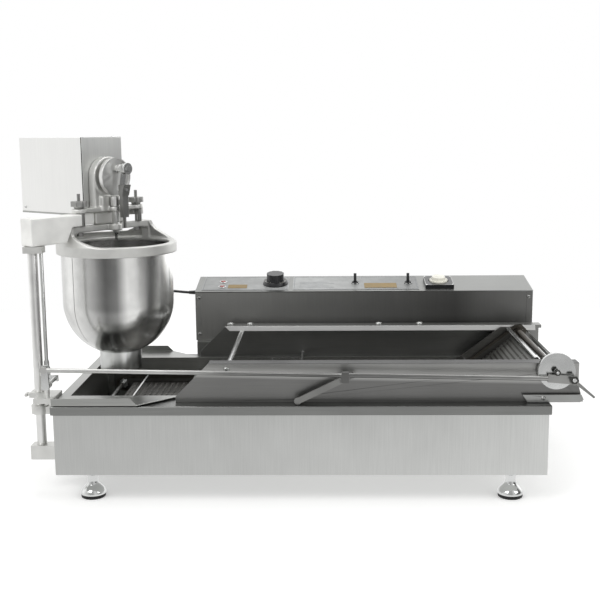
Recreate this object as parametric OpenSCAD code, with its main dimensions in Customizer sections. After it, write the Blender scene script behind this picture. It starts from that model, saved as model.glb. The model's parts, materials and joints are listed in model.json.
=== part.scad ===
// Automatic doughnut fryer for a counter: a heated oil tank in a sheet steel casing, a chain
// conveyor with an exit incline, a dough depositor on a swivel arm, and a control box behind.
// Machine coordinates: X along the casing from its middle, Y backwards from the casing's front
// face, Z up from the floor. Everything is shifted at the end so that the origin lies under
// the middle of the whole machine.

/* [Casing] */
// Length of the casing
casing_l = 880; // [800:1:1000]
// Depth of the casing
casing_d = 420; // [410:1:440]
// Height of the casing's walls
casing_h = 112; // [105:1:130]
// Thickness of the casing's sheet
casing_t = 1.5; // [1:0.1:3]
// Height of the folded rim round the casing's top
rim_h = 16; // [12:0.5:20]
// Reach of the rim past the casing's walls
rim_out = 4; // [3:0.5:6]
// Thickness of the rim's sheet
rim_t = 2; // [1.5:0.1:3]

/* [Feet] */
// Height of the levelling feet
foot_h = 55; // [45:1:70]
// Diameter of a foot's rubber pad
foot_pad_d = 46; // [36:1:56]
// Diameter of a foot's neck
foot_neck_d = 18; // [12:1:24]
// Distance of a foot's axis from the casing's end
foot_in_x = 57; // [40:1:90]
// Distance of a foot's axis from the casing's front or back
foot_in_y = 43; // [30:1:80]

/* [Oil tank] */
// Distance of the tank's ends from the casing's ends
tank_in = 19; // [14:1:50]
// Width of the tank inside
tank_w = 312; // [300:1:320]
// Depth of the tank below its rim
tank_deep = 110; // [100:1:115]
// Thickness of the tank's sheet
tank_t = 1.5; // [1:0.1:2.5]
// Gap between the casing's deck and the tank's broad flange
flange_gap = 2.5; // [2:0.1:4]
// Length of the broad flange along the tank's front
flange_l = 152; // [120:1:200]
// Height of the splash lips
lip_h = 12; // [6:0.5:20]

/* [Conveyor] */
// Height of the side plates above the casing's deck
plate_h = 71; // [65:1:90]
// Thickness of the side plates
plate_t = 2; // [1.5:0.1:3]
// Distance of the front plate from the casing's front face
plate_in = 24; // [18:1:30]
// Distance of the plates' left end from the casing's left end
plate_start = 217; // [200:1:240]
// Reach of the plates past the casing's right end
plate_reach = 55; // [45:1:65]
// Reach of the rear plate past the front one's right end
rear_extra = 8; // [0:1:12]
// Width of the plates' top flange
flange_w = 28; // [20:1:34]
// Height of the flange's return lip
return_h = 6.5; // [4:0.5:10]
// Slope of the exit incline in degrees
incline_a = 38; // [34:0.5:42]
// Reach of the drive shaft past the casing's right end
shaft_reach = 12; // [5:1:20]
// Height of the drive shaft
shaft_z = 243; // [240:0.5:246]
// Diameter of the drive shaft
shaft_d = 12; // [8:0.5:14]
// Height of the conveyor's centre line in the tank
bed_z = 134; // [130:0.5:138]
// Distance of the idler shaft from the casing's left end
idler_in = 55; // [50:1:70]
// Radius of the chain's outer run round a sprocket
chain_r = 16; // [14:0.5:18]
// Thickness of the chain band
chain_t = 5; // [4:0.5:6]
// Width of a chain
chain_w = 6; // [4:0.5:8]
// Height of a flight bar
flight_h = 12; // [8:0.5:16]
// Spacing of the flight bars
flight_pitch = 100; // [90:1:140]
// Height of the incline's side guides above its mesh
guide_h = 30; // [24:0.5:34]
// Pitch of the slats in the incline's rack
slat_pitch = 9; // [8:0.5:14]

/* [Index disc and rod] */
// Diameter of the index disc
disc_d = 65; // [60:0.5:70]
// Thickness of the index disc
disc_t = 11; // [8:0.5:14]
// Gap between the index disc and the front plate
disc_gap = 7; // [5:0.5:10]
// Diameter of the long rod
rod_d = 8; // [6:0.5:9]
// Drop of the long rod from its left end to its right end
rod_drop = 17.5; // [12:0.5:20]
// Length of the pointed handle
handle_l = 46; // [30:1:60]

/* [Depositor] */
// Distance of the hopper's axis from the casing's left end
hopper_in = 82; // [76:1:88]
// Turn of the depositor head about the vertical, in degrees
head_turn = -36; // [-38:0.5:-34]
// Height of the motor box's top
head_top = 653.5; // [640:0.5:670]
// Height of the casting's deck, where the motor box stands
head_deck = 512; // [511:0.5:514]
// Length of the motor box
box_l = 189; // [160:1:200]
// Width of the motor box
box_w = 100; // [90:1:110]
// Distance of the motor box's face behind the hopper's axis
box_back = 31; // [30:0.5:34]
// Diameter of the crank disc
crank_d = 71.6; // [64:0.2:73]
// Height of the crank disc's axis
crank_z = 579; // [578.5:0.5:584]
// Throw of the crank pin
crank_r = 17; // [12:0.5:20]
// Diameter of the hopper bowl
bowl_d = 214; // [206:1:220]
// Height of the bowl's top edge
bowl_top = 446; // [444:0.5:448]
// Height at which the bowl's round bottom begins
bowl_bend = 340; // [335:1:350]
// Thickness of the bowl's sheet
bowl_t = 1.5; // [1:0.1:2.5]
// Diameter of the nozzle
nozzle_d = 81; // [70:0.5:84]
// Height of the nozzle's mouth
nozzle_z = 204; // [202:0.5:208]
// Height of the cast ring round the hopper
ring_h = 19; // [16:0.5:22]
// Thickness of the cast ring
ring_t = 8.5; // [7:0.5:10]
// Distance of a clamp stud from the hopper's axis along the bridge
clamp_b = 73; // [70:0.5:78]
// Diameter of a clamp knob
knob_d = 30.5; // [26:0.5:36]

/* [Post] */
// Distance of the post from the hopper's axis along the arm
post_b = 190; // [186:1:194]
// Diameter of the post
post_d = 17.5; // [15:0.5:18]
// Height of the arm
arm_h = 50.5; // [46:0.5:54]
// Thickness of the arm
arm_t = 31; // [26:0.5:32]
// Diameter of the push rod
push_d = 7; // [6:0.5:8]

/* [Control box] */
// Distance of the control box's left end from the casing's left end
cbox_start = 203; // [195:1:215]
// Length of the control box
cbox_l = 733; // [700:1:760]
// Depth of the control box
cbox_d = 104; // [96:1:120]
// Height of the control box's front
cbox_h = 106; // [95:1:120]
// Height of the control box's underside
cbox_z = 210; // [205:1:216]
// Slope of the control panel in degrees
panel_a = 9.8; // [6:0.2:12]
// Diameter of the thermostat knob's skirt
therm_d = 56; // [44:1:60]
// Diameter of the motor cable
cable_d = 6; // [5:0.5:8]

/* [Hidden] */
$fn = 48;

fit = 0.05;
gap = 0.3;
wall_top = foot_h + casing_h;
end_left = -casing_l / 2;
end_right = casing_l / 2;
tank_l = casing_l - 2 * tank_in;
plate_left = end_left + plate_start;
plate_right = end_right + plate_reach;
shaft_x = end_right + shaft_reach;
idler_x = end_left + idler_in;
hopper_x = end_left + hopper_in;
cbox_left = end_left + cbox_start;
arm_step = 121;
arm_end = 84;
deck_z = wall_top + rim_h;
flange_z = deck_z + flange_gap;
tank_mid = casing_d / 2 + 4;
tank_y0 = tank_mid - tank_w / 2;
tank_y1 = tank_mid + tank_w / 2;
tank_floor = flange_z + tank_t - tank_deep;
deck_hole = 1.5;
flange_end = end_left + flange_l;

plate_top = deck_z + plate_h;
plate_y0 = plate_in;
plate_y1 = 2 * tank_mid - plate_in;
cut_low = 11;
guide_t = 2;
guide_y0 = tank_y0 + 4.5;
guide_y1 = tank_y1 - 4.5 - guide_t;
chain_y0 = guide_y0 + guide_t + 1;
chain_y1 = guide_y1 - 1 - chain_w;
foot_run = (shaft_z - bed_z) / tan(incline_a);
bend_x = shaft_x - foot_run;
mesh_t = 3;
slat_w = 5;
bed_t = 2;
bed_right = bend_x - 6;
bed_left = idler_x + chain_r + 4;
guide_left = idler_x - 21;
sprocket_r = chain_r - chain_t - 0.5;

disc_y1 = plate_y0 - disc_gap;
disc_y0 = disc_y1 - disc_t;
rod_y = disc_y0 - 2.5 - rod_d / 2;
pin_dx = 27.7;
pin_dz = -14.2;
rod_pin_x = shaft_x + pin_dx;
rod_pin_z = shaft_z + pin_dz;
rod_end_z = rod_pin_z + 2.7;
crank_pin_z = rod_end_z + rod_drop;
lever_x = end_left - 12;
lever_z = crank_pin_z - 32;
lever_y = rod_y + rod_d / 2 + 1;
rod_end_x = shaft_x - 3;
pin_r = 2.5;
rod_slope = atan(rod_drop / (rod_end_x - lever_x));
bar_slope = atan((rod_end_z - rod_pin_z) / (rod_pin_x - rod_end_x));
handle_a = 40;
handle_r = 3.4;
handle_end_r = 2;
disc_a = 7;

hopper_y = tank_mid;
post_a = -14.5;
post_x = hopper_x + post_a * cos(head_turn) + post_b * sin(head_turn);
post_y = hopper_y + post_a * sin(head_turn) - post_b * cos(head_turn);
post_top = head_deck - arm_h;
box_z0 = head_deck - 4;
lug_t = 9;
stud_top = head_deck + 37;
bridge_a = -20;
bridge_z = head_deck - 24;
bridge_t = 12;
plunger_top = crank_z - crank_d / 2 - 5;
nozzle_r = nozzle_d / 2;
ball_z = bowl_bend - sqrt(pow(bowl_d / 2, 2) - pow(nozzle_r, 2));
ring_top = bowl_top + 7;
ring_bottom = ring_top - ring_h;
ring_r = bowl_d / 2 + ring_t;
collar_top = crank_z - crank_d / 2 - 2;
collar_z = head_deck + 1;
tube_z = head_deck - 40;
tube_r = 7;
pin_lean = 28;
stroke_down = crank_r * (1 + cos(pin_lean));
slot_z = head_deck + 13 - stroke_down - 2;
link_z = crank_z - 24;
cross_a = 21;
push_x = post_x + 13.5;
push_y = post_y + 8;
push_pin_z = lever_z;

cbox_y = casing_d + 21;
cbox_front_top = cbox_z + cbox_h;
cbox_rise = cbox_d * tan(panel_a);
plate_z = 2.8;
lamp_x = 56;
therm_x = 173;
switch_x0 = 350;
switch_x1 = 467;
knob_up = 50;
timer_x = 534;
timer_up = 46;
bezel_w = 62;
bat_z = 5.5;
bat_lean = 12;

head_left = hopper_x + (-box_back - box_l) * cos(head_turn) + box_w / 2 * sin(head_turn);
handle_tip = rod_pin_x + handle_l * cos(handle_a) + handle_end_r * sin(handle_a);
front_most = rod_y - rod_d / 2 - gap - 2 * handle_r;
back_most = cbox_y + cbox_d + 1;
origin_x = (head_left + handle_tip) / 2;
origin_y = (front_most + back_most) / 2;

cable_route = [[180.7, 500, 307], [164, 497, 309], [148, 489, 312], [128, 474, 316],
    [105, 452, 322], [80, 428, 331], [54, 403, 344], [29, 381, 361], [8, 362, 382],
    [-8, 347, 406], [-17.5, 337, 430], [-22, 331, 452], [-24, 328, 470], [-24, 328, 487]];

// Moves the machine so that the origin lies under the middle of its box
module place() {
    translate([-origin_x, -origin_y, 0]) children();
}

// Frame on the hopper's axis: X forwards out of the crank disc, Y along the hopper's bridge
module head_frame() {
    place() translate([hopper_x, hopper_y, 0]) rotate([0, 0, head_turn]) children();
}

// Frame on the sloping control panel: X from the box's left end, Y up the slope from its front edge
module panel_frame(x, up) {
    place() translate([cbox_left + x, cbox_y, cbox_front_top]) rotate([panel_a, 0, 0])
        translate([0, up, 0]) children();
}

// Frame of the incline: X up the slope from the drive shaft's axis, Z square to it
module incline_frame() {
    place() translate([shaft_x, 0, shaft_z]) rotate([0, -incline_a, 0]) children();
}

// Box given by its two opposite corners
module block(a, b) {
    translate(a) cube(b - a);
}

// Cylinder along Y from y0 to y1
module y_rod(x, z, r, y0, y1) {
    translate([x, y0, z]) rotate([-90, 0, 0]) cylinder(r = r, h = y1 - y0);
}

// Outline in X and Z, drawn out along Y from y0 to y1
module y_plate(points, y0, y1) {
    translate([0, y1, 0]) rotate([90, 0, 0]) linear_extrude(y1 - y0) polygon(points);
}

// Screw with a domed head, its axis along +Z and its seat at zero
module dome_screw(r) {
    rotate_extrude() intersection() {
        translate([0, -r * 0.6]) circle(r * 1.15);
        square([r, r]);
    }
}

module casing() {
    color("#c6c7c6") place() difference() {
        block([end_left, 0, foot_h], [end_right, casing_d, wall_top]);
        block([end_left + casing_t, casing_t, foot_h + casing_t],
            [end_right - casing_t, casing_d - casing_t, wall_top + 1]);
    }
}

module casing_rim() {
    lx = end_right + rim_out;
    hole_x = tank_l / 2 + tank_t + deck_hole;
    color("#b9bab9") place() difference() {
        block([-lx, -rim_out, wall_top], [lx, casing_d + rim_out, deck_z]);
        block([-lx + rim_t, -rim_out + rim_t, wall_top - 1],
            [lx - rim_t, casing_d + rim_out - rim_t, deck_z - rim_t]);
        block([-hole_x, tank_y0 - tank_t - deck_hole, wall_top],
            [hole_x, tank_y1 + tank_t + deck_hole, deck_z + 1]);
    }
}

module levelling_feet() {
    pad_h = 7;
    dome_h = 14;
    color("#b5b6b6") place() for (sx = [-1, 1], sy = [0, 1])
        translate([sx * (end_right - foot_in_x), foot_in_y + sy * (casing_d - 2 * foot_in_y), 0])
            rotate_extrude() polygon([[0, 0], [foot_pad_d / 2, 0], [foot_pad_d / 2, pad_h],
                [foot_pad_d / 2 - 3, pad_h + dome_h * 0.45], [foot_neck_d / 2 + 5, pad_h + dome_h * 0.8],
                [foot_neck_d / 2, pad_h + dome_h], [foot_neck_d / 2 - 1.5, foot_h - 12],
                [foot_neck_d / 2 + 2, foot_h - 5], [foot_neck_d / 2 + 4, foot_h - 3],
                [foot_neck_d / 2 + 4, foot_h], [0, foot_h]]);
}

module tank() {
    x0 = -tank_l / 2;
    x1 = tank_l / 2;
    left = end_left;
    front = -rim_out - 4;
    back = 2 * tank_mid - front;
    cut = tank_y0 - front;
    top = flange_z + tank_t;
    color("#a9aaa8") place() {
        difference() {
            union() {
                block([x0 - tank_t, tank_y0 - tank_t, tank_floor - tank_t],
                    [x1 + tank_t, tank_y1 + tank_t, top]);
                translate([0, 0, flange_z]) linear_extrude(tank_t) polygon([
                    [left, front], [flange_end, front], [flange_end + cut, tank_y0 - 6],
                    [x1 + 8, tank_y0 - 6], [x1 + 8, tank_y1 + 6], [flange_end + cut, tank_y1 + 6],
                    [flange_end, back], [left, back]]);
            }
            block([x0, tank_y0, tank_floor], [x1, tank_y1, top + 1]);
        }
        for (s = [0, 1]) {
            y = s == 0 ? front : back - tank_t;
            y_plate([[left, top], [flange_end, top], [flange_end - lip_h, top + lip_h],
                [left, top + lip_h]], y, y + tank_t);
        }
    }
}

module flange_pads() {
    color("#333333") place() for (x = [end_left + 40, flange_end - 30],
        y = [plate_y0 - 8, 2 * tank_mid - plate_y0 + 8])
        translate([x, y, deck_z]) cylinder(r = 8, h = flange_gap);
    color("#333333") place() for (y = [tank_y0 - 4.5, tank_y1 + 4.5], x = [end_left + 340, end_right - 90])
        translate([x, y, deck_z]) cylinder(r = 1.4, h = flange_gap);
}

// Tube bent into a flat loop: two runs along X joined by a half ring at the left
module heater_loop(y, half, x0, x1, r) {
    for (s = [-1, 1]) translate([x0, y + s * half, 0]) rotate([0, 90, 0]) cylinder(r = r, h = x1 - x0);
    translate([x0, y, 0]) rotate([0, 0, 90]) rotate_extrude(angle = 180) translate([half, 0]) circle(r);
}

module heating_elements() {
    z = tank_floor + 17;
    x1 = bend_x + 60;
    color("#4a4440") place() {
        for (k = [-1, 0, 1]) translate([0, 0, z])
            heater_loop(tank_mid + k * 88, 24, idler_x + 40, x1, 4.5);
        block([x1, guide_y0 + 10, tank_floor], [x1 + 14, guide_y1 - 8, z + 9]);
    }
}

module bed_plate() {
    y0 = chain_y0 + chain_w + 2;
    y1 = chain_y1 - 2;
    hem = 7;
    bar = 8;
    color("#8a8b89") place() {
        difference() {
            block([bed_left, y0, bed_z - hem], [bed_right, y1, bed_z + bed_t / 2]);
            block([bed_left - 1, y0 + bed_t, bed_z - hem - 1], [bed_right + 1, y1 - bed_t, bed_z - bed_t / 2]);
        }
        for (k = [0 : 2]) translate([bed_left + 30 + k * (bed_right - bed_left - 60 - bar) / 2, 0, 0])
            block([0, guide_y0 + guide_t, bed_z - hem], [bar, guide_y1, bed_z - bed_t / 2]);
    }
}

// Outline of a side plate, seen from the front
function plate_outline(end) = [[plate_left, deck_z], [max(end, plate_right + 9), deck_z], [end, deck_z + 30],
    [end, plate_top], [plate_left + plate_top - deck_z - cut_low, plate_top],
    [plate_left, deck_z + cut_low]];

// Side plate with its inward flange and return lip, standing at y with the inside towards s
module side_plate(y, s) {
    end = s > 0 ? plate_right : plate_right + rear_extra;
    fl0 = s > 0 ? y : y + plate_t - flange_w;
    lip = s > 0 ? y + flange_w - plate_t : y + plate_t - flange_w;
    x0 = plate_left + plate_top - deck_z - cut_low;
    y_plate(plate_outline(end), y, y + plate_t);
    block([x0, fl0, plate_top - plate_t], [end, fl0 + flange_w, plate_top]);
    block([x0, lip, plate_top - return_h], [end, lip + plate_t, plate_top]);
}

module front_side_plate() {
    color("#9c9d9b") difference() {
        place() side_plate(plate_y0, 1);
        place() y_rod(shaft_x, shaft_z, 8.5, plate_y0 - 1, plate_y0 + flange_w + 1);
        place() y_rod(flip_x(), flip_z(), 3 + fit, plate_y0 - 1, plate_y0 + plate_t + 1);
    }
}

module rear_side_plate() {
    color("#8e8f8d") difference() {
        place() side_plate(plate_y1 - plate_t, -1);
        place() y_rod(shaft_x, shaft_z, 8.5, plate_y1 - flange_w - 1, plate_y1 + 1);
        place() y_rod(flip_x(), flip_z(), 3 + fit, plate_y1 - plate_t - 1, plate_y1 + 1);
    }
}

module tie_bar() {
    color("#c2c3c2") place() y_rod(plate_left + 92.5, plate_top - return_h - 5.2, 5,
        plate_y0 + plate_t, plate_y1 - plate_t);
}

module body_screws() {
    tie_x = plate_left + 92.5;
    tie_z = plate_top - return_h - 5.2;
    color("#d4d4d2") place() {
        translate([tie_x, plate_y0, tie_z]) rotate([90, 0, 0]) dome_screw(6);
        translate([tie_x, plate_y1, tie_z]) rotate([-90, 0, 0]) dome_screw(6);
        for (x = [66, 108, 384, 471]) translate([plate_left + x, plate_y1 - 7, plate_top]) dome_screw(8.5);
        for (x = [plate_left + 12, plate_right - 70], z = [deck_z + 14])
            translate([x, plate_y1, z]) rotate([-90, 0, 0]) dome_screw(5);
        for (z = [cbox_z + 14, cbox_front_top - 12]) {
            translate([cbox_left + 8, cbox_y, z]) rotate([90, 0, 0]) dome_screw(4);
            translate([cbox_left + cbox_l - 8, cbox_y, z]) rotate([90, 0, 0]) dome_screw(4);
        }
    }
}

// Outline of a conveyor guide: a low strip in the tank and a higher one up the incline
function guide_outline() = let (c = cos(incline_a), s = sin(incline_a), up = guide_h, low = 18)
    [[guide_left, bed_z - 14], [idler_x + 20, bed_z - 14], [idler_x + 20, tank_floor],
    [idler_x + 40, tank_floor], [idler_x + 40, bed_z - 14], [bend_x - 60, bed_z - 14],
    [bend_x - 60, tank_floor], [bend_x - 40, tank_floor], [bend_x - 40, bed_z - 14],
    [bend_x + 6, bed_z - 14], [shaft_x + low * s, shaft_z - low * c],
    [shaft_x + 8, shaft_z - 2], [shaft_x + 8, shaft_z + 10],
    [shaft_x - 4 * c - (guide_h - 16) * s, shaft_z - 4 * s + (guide_h - 16) * c],
    [shaft_x - 24 * c - up * s, min(plate_top - 1, shaft_z - 24 * s + up * c)],
    [bend_x - up * tan(incline_a / 2) - 4, bed_z + up], [bend_x - 60, bed_z + 24],
    [guide_left, bed_z + 24]];

module chain_guides() {
    spacer_x = shaft_x - 62;
    spacer_z = shaft_z - 40;
    color("#3a3a39") {
        for (y = [guide_y0, guide_y1]) difference() {
            place() y_plate(guide_outline(), y, y + guide_t);
            place() y_rod(shaft_x, shaft_z, shaft_d / 2 + 1, y - 1, y + guide_t + 1);
            place() y_rod(idler_x, bed_z, 5 + fit, y - 1, y + guide_t + 1);
        }
        place() y_rod(spacer_x, spacer_z, 5, plate_y0 + plate_t, guide_y0);
        place() y_rod(spacer_x, spacer_z, 5, guide_y1 + guide_t, plate_y1 - plate_t);
    }
}

module incline_mesh() {
    y0 = chain_y0 + chain_w + 2;
    y1 = chain_y1 - 2;
    run = foot_run / cos(incline_a);
    low = -run + 10;
    high = -chain_r - 2;
    count = floor((high - low - slat_w) / slat_pitch);
    under = -mesh_t * 1.5;
    over = 0.5 - mesh_t / 2;
    color("#a2a3a0") incline_frame() {
        for (k = [0 : count]) block([low + k * slat_pitch, y0, -mesh_t / 2],
            [low + k * slat_pitch + slat_w, y1, mesh_t / 2]);
        for (k = [0 : 2]) {
            rail_y = y0 + k * (y1 - y0 - mesh_t) / 2;
            block([low, rail_y, under], [low + count * slat_pitch + slat_w, rail_y + mesh_t, over]);
            bar_x = low + k * (high - low - mesh_t) / 2;
            block([bar_x, guide_y0 + guide_t, under], [bar_x + mesh_t, guide_y1, over]);
        }
    }
}

// Outline of the conveyor's run: a round-ended strip that bends up the incline
module run_outline(r) {
    hull() {
        translate([idler_x, bed_z]) circle(r, $fn = 24);
        translate([bend_x, bed_z]) circle(r, $fn = 24);
    }
    hull() {
        translate([bend_x, bed_z]) circle(r, $fn = 24);
        translate([shaft_x, shaft_z]) circle(r, $fn = 24);
    }
}

module drive_chains() {
    color("#6e6e6c") place() for (y = [chain_y0, chain_y1])
        translate([0, y + chain_w, 0]) rotate([90, 0, 0]) linear_extrude(chain_w) difference() {
            run_outline(chain_r);
            run_outline(chain_r - chain_t);
        }
}

module flight_bars() {
    x0 = idler_x + 59;
    count = floor((bend_x - 30 - x0) / flight_pitch);
    run = foot_run / cos(incline_a);
    color("#b7b8b6") {
        place() for (k = [0 : count], s = [1, -1]) block(
            [x0 + k * flight_pitch, chain_y0, bed_z + (s > 0 ? chain_r : -chain_r - flight_h)],
            [x0 + k * flight_pitch + 3, chain_y1 + chain_w, bed_z + (s > 0 ? chain_r + flight_h : -chain_r)]);
        incline_frame() for (s = [1, -1]) block([-run + 52, chain_y0, s > 0 ? chain_r : -chain_r - flight_h],
            [-run + 55, chain_y1 + chain_w, s > 0 ? chain_r + flight_h : -chain_r]);
    }
}

module exit_chute() {
    x0 = shaft_x + chain_r + 4;
    color("#9b9c9a") place() {
        y_plate([[x0, shaft_z - 3], [x0 + 2, shaft_z - 1], [plate_right - 3, shaft_z - 21],
            [plate_right - 3, shaft_z - 29], [plate_right - 5, shaft_z - 29], [plate_right - 5, shaft_z - 22]],
            plate_y0 + plate_t, plate_y1 - plate_t);
    }
}

module exit_bracket() {
    z0 = deck_z + 1;
    x1 = plate_right + 8;
    color("#6f706e") place() {
        y_plate([[plate_right - 100, z0 + 14], [plate_right - 93, z0 + 4], [plate_right - 87, z0],
            [x1 - 6, z0], [x1, z0 + 5], [x1 - 4, z0 + 14]], plate_y0 - 8, plate_y0 - 5);
        block([plate_right - 92, plate_y0 - 8, z0], [x1 - 8, plate_y0, z0 + 3]);
        translate([plate_right - 63, plate_y0 - 8, z0 + 8]) rotate([90, 0, 0]) dome_screw(4);
    }
}

module shaft_bushes() {
    r = shaft_d / 2 + fit;
    color("#b08d4e") for (y = [plate_y0, plate_y1 - plate_t]) difference() {
        inside = y == plate_y0 ? y + plate_t : y - 3;
        place() union() {
            y_rod(shaft_x, shaft_z, 8.5 - fit, y, y + plate_t);
            y_rod(shaft_x, shaft_z, 8.8, inside, inside + 3);
        }
        place() y_rod(shaft_x, shaft_z, r, y - 5, y + plate_t + 5);
    }
}

// Sprocket with a ring of teeth, at y
module sprocket(x, z, y, bore) {
    teeth = 9;
    difference() {
        union() {
            y_rod(x, z, sprocket_r - 1.6, y, y + chain_w);
            for (k = [0 : teeth - 1]) translate([x, y + chain_w / 2 - 1.5, z])
                rotate([0, k * 360 / teeth, 0]) translate([-1.5, 0, 0]) cube([3, 3, sprocket_r]);
        }
        y_rod(x, z, bore, y - 1, y + chain_w + 1);
    }
}

module drive_shaft() {
    color("#d2d3d3") place() union() {
        y_rod(shaft_x, shaft_z, shaft_d / 2, disc_y1, plate_y1 + 4);
        for (y = [chain_y0, chain_y1]) sprocket(shaft_x, shaft_z, y, shaft_d / 2 - 1);
    }
}

module index_disc() {
    color("#cfd0cf") place() {
        difference() {
            y_rod(shaft_x, shaft_z, disc_d / 2, disc_y0, disc_y1);
            for (k = [0 : 17]) translate([shaft_x, disc_y1 - 3, shaft_z]) rotate([0, k * 20, 0])
                translate([disc_d / 2 - 2, 0, -1]) cube([3, 4, 2]);
        }
        y_rod(shaft_x, shaft_z, 5, disc_y0 - 1.5, disc_y0);
    }
}

module idler_shaft() {
    color("#c9cac9") place() union() {
        y_rod(idler_x, bed_z, 5, guide_y0, guide_y1 + guide_t);
        for (y = [chain_y0, chain_y1]) sprocket(idler_x, bed_z, y, 4);
    }
}

// The rod's own frame: X along it from its left pin to its right pin
module rod_frame() {
    place() translate([lever_x, rod_y, crank_pin_z]) rotate([0, rod_slope, 0]) children();
}

module long_rod() {
    span = (rod_end_x - lever_x) / cos(rod_slope);
    bar = (rod_pin_x - rod_end_x) / cos(bar_slope);
    r = rod_d / 2;
    color("#c4c5c3") rod_frame() {
        rotate([0, 90, 0]) cylinder(r = r, h = span);
        y_rod(0, 0, 6.5, -r, r);
        y_rod(0, 0, pin_r, r - 1, r + 6);
        translate([(flip_x() + flip_dx() - lever_x) / cos(rod_slope), 0, 0]) {
            y_rod(0, -8, pin_r, 0, r + 6);
            block([-6.5, -r - 2, -13], [6.5, r, r + 2]);
        }
    }
    color("#c4c5c3") place() difference() {
        translate([rod_end_x, rod_y, rod_end_z]) rotate([0, bar_slope, 0]) union() {
            translate([-14, -r, -7]) cube([bar + 14, 2 * r - 1, 14]);
            y_rod(bar, 0, 7, -r, r - 1);
        }
        y_rod(rod_pin_x, rod_pin_z, 3 + fit, rod_y - r - 1, rod_y + r + 1);
    }
}

module lock_handle() {
    color("#bdbebc") place() translate([rod_pin_x, rod_y - rod_d / 2 - gap, rod_pin_z]) {
        y_rod(0, 0, 3, -1, rod_d + gap - 1.5);
        y_rod(0, 0, 7.5, -5, 0);
        rotate([0, handle_a, 0]) translate([0, -handle_r, 0]) rotate([0, 90, 0])
            cylinder(r1 = handle_r, r2 = handle_end_r, h = handle_l);
    }
}

// The flipper's shaft and the throw of its lever
function flip_x() = -3;
function flip_z() = deck_z + 7.3;
function flip_dx() = 84;
function flip_dz() = crank_pin_z - (flip_x() + flip_dx() - lever_x) * tan(rod_slope) - flip_z() - 8;

module flipper_lever() {
    ang = atan(flip_dz() / flip_dx());
    reach = norm([flip_dx(), flip_dz()]);
    slot = pin_r + 0.4;
    color("#c8c9c7") place() difference() {
        union() {
            translate([flip_x(), lever_y, flip_z()]) rotate([0, -ang, 0]) union() {
                translate([0, 0, -5.5]) cube([reach + 18, 4, 11]);
                y_rod(0, 0, 6.5, 0, 4);
            }
            y_rod(flip_x(), flip_z(), 5, lever_y, plate_y0 - gap);
            y_rod(flip_x(), flip_z(), 3, lever_y, plate_y0 + plate_t + 1);
        }
        translate([flip_x(), lever_y, flip_z()]) rotate([0, -ang, 0])
            translate([reach - 10, -1, -slot]) cube([20, 6, 2 * slot]);
    }
}

module flipper_grid() {
    y0 = chain_y0 + chain_w + 4;
    color("#aaaba9") place() {
        y_rod(flip_x(), flip_z(), 3, plate_y0 + plate_t + 1, plate_y1 - plate_t + 1);
        for (k = [0 : 6]) block([flip_x() - 62, y0 + 12 + k * 42, flip_z() - 1.5],
            [flip_x(), y0 + 15 + k * 42, flip_z() + 1.5]);
        block([flip_x() - 64, y0 + 8, flip_z() - 1.5], [flip_x() - 61, y0 + 12 + 6 * 42 + 7, flip_z() + 1.5]);
    }
}

module control_box() {
    y1 = cbox_y + cbox_d;
    t = casing_t;
    color("#6d6e6c") place() difference() {
        translate([cbox_left, 0, 0]) rotate([90, 0, 90]) linear_extrude(cbox_l) polygon([
            [cbox_y, cbox_z], [y1, cbox_z], [y1, cbox_front_top + cbox_rise], [cbox_y, cbox_front_top]]);
        block([cbox_left + t, cbox_y + t, cbox_z + t],
            [cbox_left + cbox_l - t, y1 - t, cbox_front_top + cbox_rise + 1]);
    }
}

module control_panel() {
    slope_l = cbox_d / cos(panel_a);
    color("#b4b5b3") panel_frame(-1, 0)
        translate([0, -1, 0]) cube([cbox_l + 2, slope_l + 1, 2]);
}

module panel_plates() {
    z = 2;
    label_z = plate_z + 0.6;
    color("#d9d9d6") {
        panel_frame(0, 0) block([12, 8, z], [203, 98, plate_z]);
        panel_frame(0, 0) block([212, 8, z], [489, 98, plate_z]);
    }
    color("#c9a23a") {
        panel_frame(0, 0) block([lamp_x + 13, 20, plate_z], [lamp_x + 55, 43, label_z]);
        panel_frame(0, 0) block([switch_x0 + 20, 19, plate_z], [switch_x1 - 26, 50, label_z]);
    }
}

module signal_lamps() {
    color("#b3261e") for (up = [28, 62]) panel_frame(lamp_x, up)
        translate([0, 0, plate_z]) dome_screw(6.5);
}

// Timer's square bezel and the hollow boots of the two toggle switches
module panel_fittings() {
    color("#1c1c1c") panel_frame(timer_x, timer_up) difference() {
        translate([-bezel_w / 2, -bezel_w / 2, 2]) cube([bezel_w, bezel_w, 8]);
        translate([0, 0, 4]) cylinder(r = 22, h = 8);
    }
    color("#1c1c1c") for (x = [switch_x0, switch_x1]) panel_frame(x, knob_up)
        translate([0, 0, plate_z]) difference() {
            cylinder(r1 = 8.5, r2 = 7, h = 4.5);
            translate([0, 0, -1]) cylinder(r = 4.8, h = 8);
        }
}

module timer_dial() {
    color("#e9e9e4") panel_frame(timer_x, timer_up) translate([0, 0, 4 + gap]) {
        cylinder(r = 20, h = 8);
        translate([0, 0, 8]) cylinder(r1 = 16, r2 = 14, h = 7);
    }
}

module thermostat_knob() {
    color("#222324") panel_frame(therm_x, knob_up) translate([0, 0, plate_z + gap]) difference() {
        union() {
            cylinder(r1 = therm_d / 2, r2 = therm_d / 2 - 3, h = 8);
            translate([0, 0, 8]) cylinder(r = therm_d / 2 - 9, h = 16);
        }
        for (k = [0 : 11]) rotate([0, 0, k * 30]) translate([therm_d / 2 - 7.6, 0, 9])
            cylinder(r = 2.4, h = 20);
    }
}

// Toggle switch's bat, tilted back about the pin that it turns on inside its boot
module toggle(x) {
    panel_frame(x, knob_up) translate([0, 0, bat_z]) rotate([-bat_lean, 0, 0]) union() {
        translate([-2.8, 0, 0]) rotate([0, 90, 0]) cylinder(r = 2.2, h = 5.6);
        cylinder(r = 3.2, h = 20);
    }
}

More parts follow.
